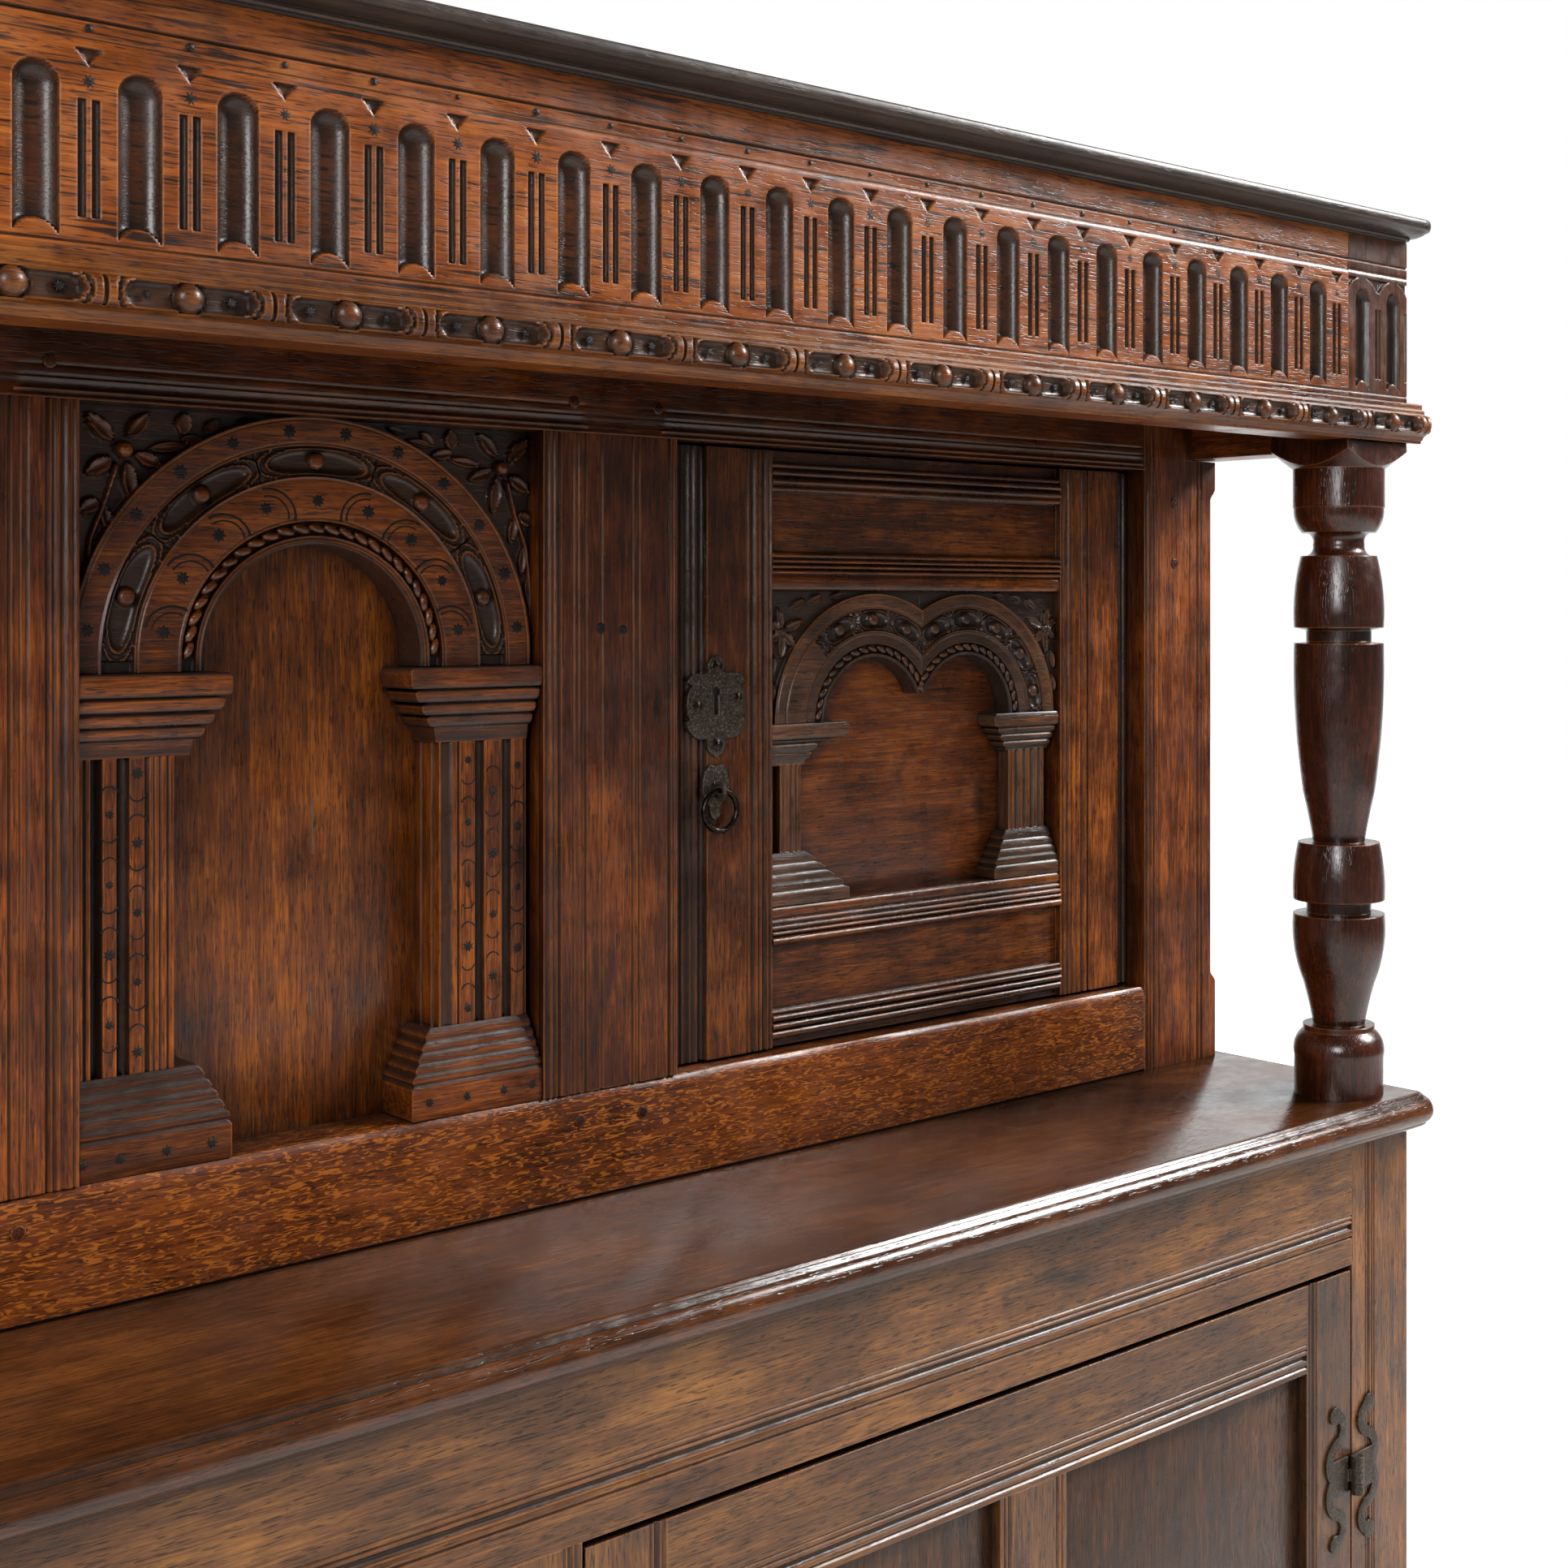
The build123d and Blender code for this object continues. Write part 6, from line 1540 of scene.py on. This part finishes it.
set_out("plinth_stars", disc(3.2, 0.12, 16, point=0.5),
        [(side * x, -64.3, 1008.5) for side in (-1, 1) for x in (66.0, 91.0, 116.0, 136.0)],
        BODY_OF["arch_bases"], BLACK_WAX_AND_HOLE_SHADE, "oak_carved", size_spread=0.1, turn_spread=0.6, seed=6)

# stars and small dots along the frieze
edges = [(i - FLUTE_COUNT / 2) * FLUTE_PITCH for i in range(FLUTE_COUNT + 1)]
set_out("frieze_stars", disc(3.2, 0.12, 16, point=0.45),
        [(x, FRONT, SOFFIT + 107.0) for x in edges], BODY_OF["frieze_board"], BLACK_WAX_AND_HOLE_SHADE,
        "oak_carved", size_spread=0.15, turn_spread=0.6, seed=7)
set_out("frieze_dots", disc(1.5, 0.15, 10, dome=0.2),
        [(x, FRONT, SOFFIT + 130.5) for x in edges[:-1]], BODY_OF["frieze_board"], BLACK_WAX_AND_HOLE_SHADE,
        "oak_carved", size_spread=0.25, turn_spread=1.0, seed=8)
set_out("pearl_stars", disc(2.7, 0.1, 16, point=0.45),
        [(PEARL_OFFSET + i * PEARL_PITCH + side * 19.5, FRONT - 9.7, SOFFIT + 14.0)
         for i in range(-9, 11) for side in (-1, 1)], BODY_OF["pearl_moulding"], BLACK_WAX_AND_HOLE_SHADE,
        "oak_carved", size_spread=0.2, turn_spread=0.6, seed=9)


def rope(name, centre_x, radius, spring, y, count, first, last_angle, size, body, material):
    """Twisted beads round an arch."""
    places, turns = [], []
    for i in range(count):
        angle = first + (last_angle - first) * (i + 0.5) / count
        places.append((centre_x + radius * math.cos(angle), y, spring + radius * math.sin(angle)))
        turns.append((0.0, -angle - math.radians(68.0), 0.0))
    return set_out(name, bead(size, size * 0.45), places, body, material, "oak_carved",
                   turns=turns, size_spread=0.06, turn_spread=0.06, seed=11)


rope("arch_rope", 0.0, 75.0, SPRING, ARCH_FRONT + 2.4, 25, 0.01, math.pi - 0.01, 5.9,
     BODY_OF["arch_carving"], OAK_ROPE[0])
for hand, sign in (("right", 1), ("left", -1)):
    for arch_side in (-1, 1):
        middle = sign * (CENTRE + arch_side * HALF_PITCH)
        lean = math.radians(158.0)
        span = (0.02, lean) if arch_side * sign > 0 else (math.pi - lean, math.pi - 0.02)
        rope(f"door_rope_{hand}_{'outer' if arch_side > 0 else 'inner'}", middle, 51.2,
             DOOR_SPRING, DOOR_ARCH + 2.6, 17, *span, 4.7, BODY_OF[f"upper_{hand}_door_arch"],
             OAK_DUSTY_SHADED[0])

# pegs in the joints, and two open peg holes in the right muntin
pegs = [(side * x, FACE, z) for side in (-1, 1) for x, z in ((733.0, 1389.0), (733.0, 1339.5))]
pegs += [(x, FACE, z) for x, z in ((165.0, 1433.0), (228.0, 1433.0), (-153.0, 1433.0),
                                   (-228.0, 1433.0), (169.0, 981.0), (216.0, 978.0),
                                   (-169.0, 980.0), (-216.0, 976.0))]
set_out("pegs", disc(4.0, 0.7, 9, dome=0.4), pegs, BODY_OF["upper_top_rail"], OAK_DARK[1],
        "oak", size_spread=0.12, turn_spread=1.0, seed=12)
# the open peg holes are black discs: painted shade in the holes
set_out("peg_holes", disc(3.4, 0.1, 12), [(184.2, FACE, 1290.6), (201.2, FACE, 1289.4)],
        BODY_OF["upper_top_rail"], BLACK_WAX_AND_HOLE_SHADE, "oak", size_spread=0.05, seed=13)

# a shake in the arch's back panel, with old dust in it
shake = [relief(np.array([x, x + 0.9]), np.array(ends), lambda x, z: 0.0 * x, -26.66, -26.2, 2)
         for x, ends in ((10.4, (1308.0, 1334.0)), (9.9, (1158.0, 1192.0)), (9.0, (1063.0, 1081.0)))]
keep((shake[0] + shake[1] + shake[2]).mesh("shake"), "panel_shake", BODY_OF["arch_back_panel"],
     [DUST] * 3, SLOT_OF["arch_back_panel"])

# ------------------------------------------------------------------ ironwork on the upper doors
def bow(centre, radius, first, last, count):
    """Points along an arc, its ends at angles in degrees."""
    return [(centre[0] + radius * math.cos(math.radians(a)),
             centre[1] + radius * math.sin(math.radians(a))) for a in np.linspace(first, last, count)]


LOCK_X = 283.0            # the keyhole's and the ring's distance from the middle
KEYHOLE_Z = 1241.0
RING_PIVOT_Z = 1181.0
# outlines in mm from the keyhole and from the ring's pivot
ESCUTCHEON = (bow((0, 23.4), 6.9, -38, 218, 11)
              + [(-9.5, 18.0), (-15.0, 18.6), (-20.6, 17.0), (-24.2, 12.8), (-18.6, 11.0),
                 (-21.6, 7.6), (-23.4, 3.0), (-24.0, -3.0), (-23.4, -8.6), (-21.0, -11.6),
                 (-24.6, -13.8), (-22.4, -19.0), (-18.0, -23.6), (-13.0, -25.6), (-7.4, -25.4)]
              + bow((0, -29.6), 7.2, 165, 250, 6) + [(-0.6, -38.2)]
              + bow((0, -29.6), 7.2, 290, 375, 6)
              + [(7.4, -25.2), (13.0, -25.4), (18.4, -23.6), (22.8, -18.6), (24.6, -13.4),
                 (21.2, -11.2), (23.2, -7.6), (23.8, -2.0), (23.4, 3.4), (21.8, 7.6),
                 (19.4, 10.4), (24.0, 12.8), (20.8, 16.8), (15.2, 18.8), (9.6, 18.2)])
KEYHOLE = bow((0, 6.0), 3.4, -58, 238, 10) + [(-1.8, -9.4), (1.8, -9.4)]
RING_PLATE = [(-5.0, 17.6), (-8.6, 13.0), (-10.6, 6.0), (-10.8, 0.0), (-8.8, -6.0), (-5.6, -9.6),
              (-5.2, -14.0), (-3.4, -18.4), (-0.4, -20.4), (3.0, -17.6), (4.6, -13.0),
              (5.4, -9.0), (8.8, -5.6), (10.8, 0.4), (10.4, 7.0), (8.4, 13.2), (5.2, 17.4),
              (0.0, 15.8)]


def cut_plate(mesh_edit, outlines, place, y_back, y_front, soft=0.5):
    """Adds a flat plate cut to an outline, with holes, and hammered soft along its front edge."""
    sides = []
    for y in (y_back, y_front):
        rings = [[mesh_edit.verts.new(((place[0] + x) * MM, y * MM, (place[1] + z) * MM))
                  for x, z in outline] for outline in outlines]
        edges = [mesh_edit.edges.new((ring[i - 1], ring[i])) for ring in rings
                 for i in range(len(ring))]
        bmesh.ops.triangle_fill(mesh_edit, edges=edges, use_beauty=True)
        sides.append((rings, edges))
    (back, _), (front, front_edges) = sides
    for ring_back, ring_front in zip(back, front):
        for i in range(len(ring_back)):
            mesh_edit.faces.new((ring_back[i - 1], ring_back[i], ring_front[i],
                                 ring_front[i - 1]))
    bmesh.ops.recalc_face_normals(mesh_edit, faces=mesh_edit.faces)
    bmesh.ops.bevel(mesh_edit, geom=front_edges, offset=soft * MM, segments=2, profile=0.6,
                    affect="EDGES", clamp_overlap=True)


def staple(mesh_edit, x, y_plate, pivot_y, pivot_z, loop, wire):
    """Adds the bent wire that a ring hangs from."""
    path = [(y_plate, pivot_z + loop)]
    path += [(pivot_y - loop * math.sin(t), pivot_z + loop * math.cos(t))
             for t in np.linspace(0, math.pi, 9)]
    path.append((y_plate, pivot_z - loop))
    rings = []
    for i, (y, z) in enumerate(path):
        ahead, behind = path[min(i + 1, len(path) - 1)], path[max(i - 1, 0)]
        tangent = Vector((ahead[0] - behind[0], ahead[1] - behind[1])).normalized()
        rings.append([mesh_edit.verts.new(((x + wire * math.cos(a)) * MM,
                                           (y - tangent[1] * wire * math.sin(a)) * MM,
                                           (z + tangent[0] * wire * math.sin(a)) * MM))
                      for a in np.linspace(0, 2 * math.pi, 9)[:-1]])
    for ring, after in zip(rings, rings[1:]):
        for i in range(8):
            mesh_edit.faces.new((ring[i - 1], ring[i], after[i], after[i - 1]))
    mesh_edit.faces.new(rings[0])
    mesh_edit.faces.new(rings[-1])
    bmesh.ops.recalc_face_normals(mesh_edit, faces=mesh_edit.faces)


for hand, sign in (("right", 1), ("left", -1)):
    node = f"upper_{hand}_door_ironwork"
    REMADE.add(node)
    dress(node, BODY_OF[node], [IRON] * 3, SLOT_OF[node], arris=0.3,
          drop=lambda low, high: low[1] > -80 and high[1] < -51 and low[2] > 1140)
    mesh_edit = bmesh.new()
    cut_plate(mesh_edit, [ESCUTCHEON, KEYHOLE], (sign * LOCK_X, KEYHOLE_Z), -49.8, -54.2)
    cut_plate(mesh_edit, [RING_PLATE], (sign * LOCK_X, RING_PIVOT_Z), -49.8, -53.8)
    staple(mesh_edit, sign * LOCK_X, -52.0, -58.5, RING_PIVOT_Z, 4.6, 1.6)
    smooth_by_angle(mesh_edit, 40)
    keep(finished(mesh_edit, "plates"), f"escutcheon_{hand}", BODY_OF[node], [IRON], "iron")
    set_out(f"rivets_{hand}", disc(4.0, 0.7, 10, dome=1.3),
            [(sign * (LOCK_X + x), -54.0, KEYHOLE_Z + z) for x, z in
             ((-15.6, -3.4), (17.6, 1.6), (0.0, 23.4), (0.0, -29.4))],
            BODY_OF[node], RUBBED_IRON, "iron", sizes=[1.0, 0.9, 1.1, 1.1], size_spread=0.06,
            turn_spread=0.8, seed=18)
    # a black plate in the keyhole: painted shade in the opening
    mesh_edit = bmesh.new()
    cut_plate(mesh_edit, [KEYHOLE], (sign * LOCK_X, KEYHOLE_Z), -49.8, -51.9, soft=0.05)
    keep(finished(mesh_edit, "keyhole"), f"keyhole_{hand}", BODY_OF[node], [BLACK_WAX_AND_HOLE_SHADE], "iron")

# ------------------------------------------------------------------ remaining nodes
for node in sorted(frame["nodes"]):
    if node not in REMADE:
        piece = dress(node, BODY_OF[node], finish_for(node), SLOT_OF[node],
                      arris=0.3 if SLOT_OF[node] == "iron" else 0.8)
        if node.endswith("back_frame"):
            for face in piece.data.polygons:
                if abs(face.center.x) > 700 * MM:      # its stiles stand upright
                    face.material_index = 2

# ------------------------------------------------------------------ stage, light and camera
def white_seen(tree, way, *stops):
    """Where white paper is seen: straight on, through a thing, and mirrored from behind, which
    the stops find along Y."""
    along = add(tree, "SeparateXYZ", None, {0: way}).outputs["Y"]
    behind = add(tree, "ValToRGB", None, {"Fac": along}, stops)
    ray = add(tree, "LightPath").outputs
    mirrored = add(tree, "Math", {"operation": "MULTIPLY"}, {0: ray["Is Glossy Ray"], 1: behind})
    straight = add(tree, "Math", {"operation": "MAXIMUM"}, {0: ray["Is Camera Ray"],
                                                            1: ray["Is Transmission Ray"]})
    return add(tree, "Math", {"operation": "MAXIMUM"}, {0: straight, 1: mirrored})


def white_stage(name):
    """White paper, matt, which keeps the cupboard's shadow and fades to white further off."""
    material, tree = new_material(name)
    place = add(tree, "TexCoord").outputs["Object"]
    away = add(tree, "VectorMath", {"operation": "LENGTH"}, {0: place})
    tenth = add(tree, "Math", {"operation": "MULTIPLY"}, {0: away, 1: 0.1})
    glow = add(tree, "ValToRGB", None, {"Fac": tenth}, ((0.14, 0.62), (0.40, 1.0)))
    seen = white_seen(tree, place, (0.3, 0.0), (1.0, 1.0))
    shining = add(tree, "Math", {"operation": "MULTIPLY"}, {0: seen, 1: glow})
    surface(tree, {"Base Color": linear("#f4f3f1"), "Roughness": 0.9,
                   "Emission Color": (1, 1, 1, 1), "Emission Strength": shining})
    return material


bpy.ops.mesh.primitive_plane_add(size=30.0, location=(0.0, 0.0, 0.0))
floor = bpy.context.object
floor.name = "stage_floor"
floor.data.materials.append(white_stage("White paper"))

world = bpy.data.worlds.new("Studio")
bpy.context.scene.world = world
world.use_nodes = True
tree = world.node_tree
tree.nodes.clear()
way = add(tree, "TexCoord").outputs["Generated"]
seen = white_seen(tree, way, (0.05, 0.0), (0.45, 1.0))
soft, white = [add(tree, "Background", None, {"Color": (1, 1, 1, 1), "Strength": strength})
               for strength in (0.16, 1.0)]
blend = add(tree, "MixShader", None, {0: seen, 1: soft, 2: white})
add(tree, "OutputWorld", None, {"Surface": blend})


def softbox(name, location, target, size, power):
    """A large soft lamp aimed at a point."""
    lamp = bpy.data.lights.new(name, "AREA")
    lamp.shape = "RECTANGLE"
    lamp.size, lamp.size_y = size
    lamp.energy = power
    obj = bpy.data.objects.new(name, lamp)
    bpy.context.scene.collection.objects.link(obj)
    obj.location = location
    direction = Vector(target) - Vector(location)
    obj.rotation_euler = direction.to_track_quat("-Z", "Y").to_euler()
    return obj


softbox("key_softbox", (3.1, -1.75, 3.3), (0.2, -0.1, 1.2), (1.1, 1.1), 210.0)
softbox("fill_softbox", (-2.6, -2.4, 2.4), (0.2, -0.1, 1.1), (1.2, 1.6), 85.0)

camera_data = bpy.data.cameras.new("camera")
camera = bpy.data.objects.new("camera", camera_data)
bpy.context.scene.collection.objects.link(camera)
camera.location = (-0.5603, -1.2090, 1.3055)
camera.rotation_euler = (math.radians(90.0), 0.0, math.radians(-44.29))
camera_data.lens = 48.39
camera_data.sensor_width = 36.0
camera_data.shift_x = -0.1496
camera_data.shift_y = -0.1143
bpy.context.scene.camera = camera
bpy.context.scene.view_settings.view_transform = "Standard"
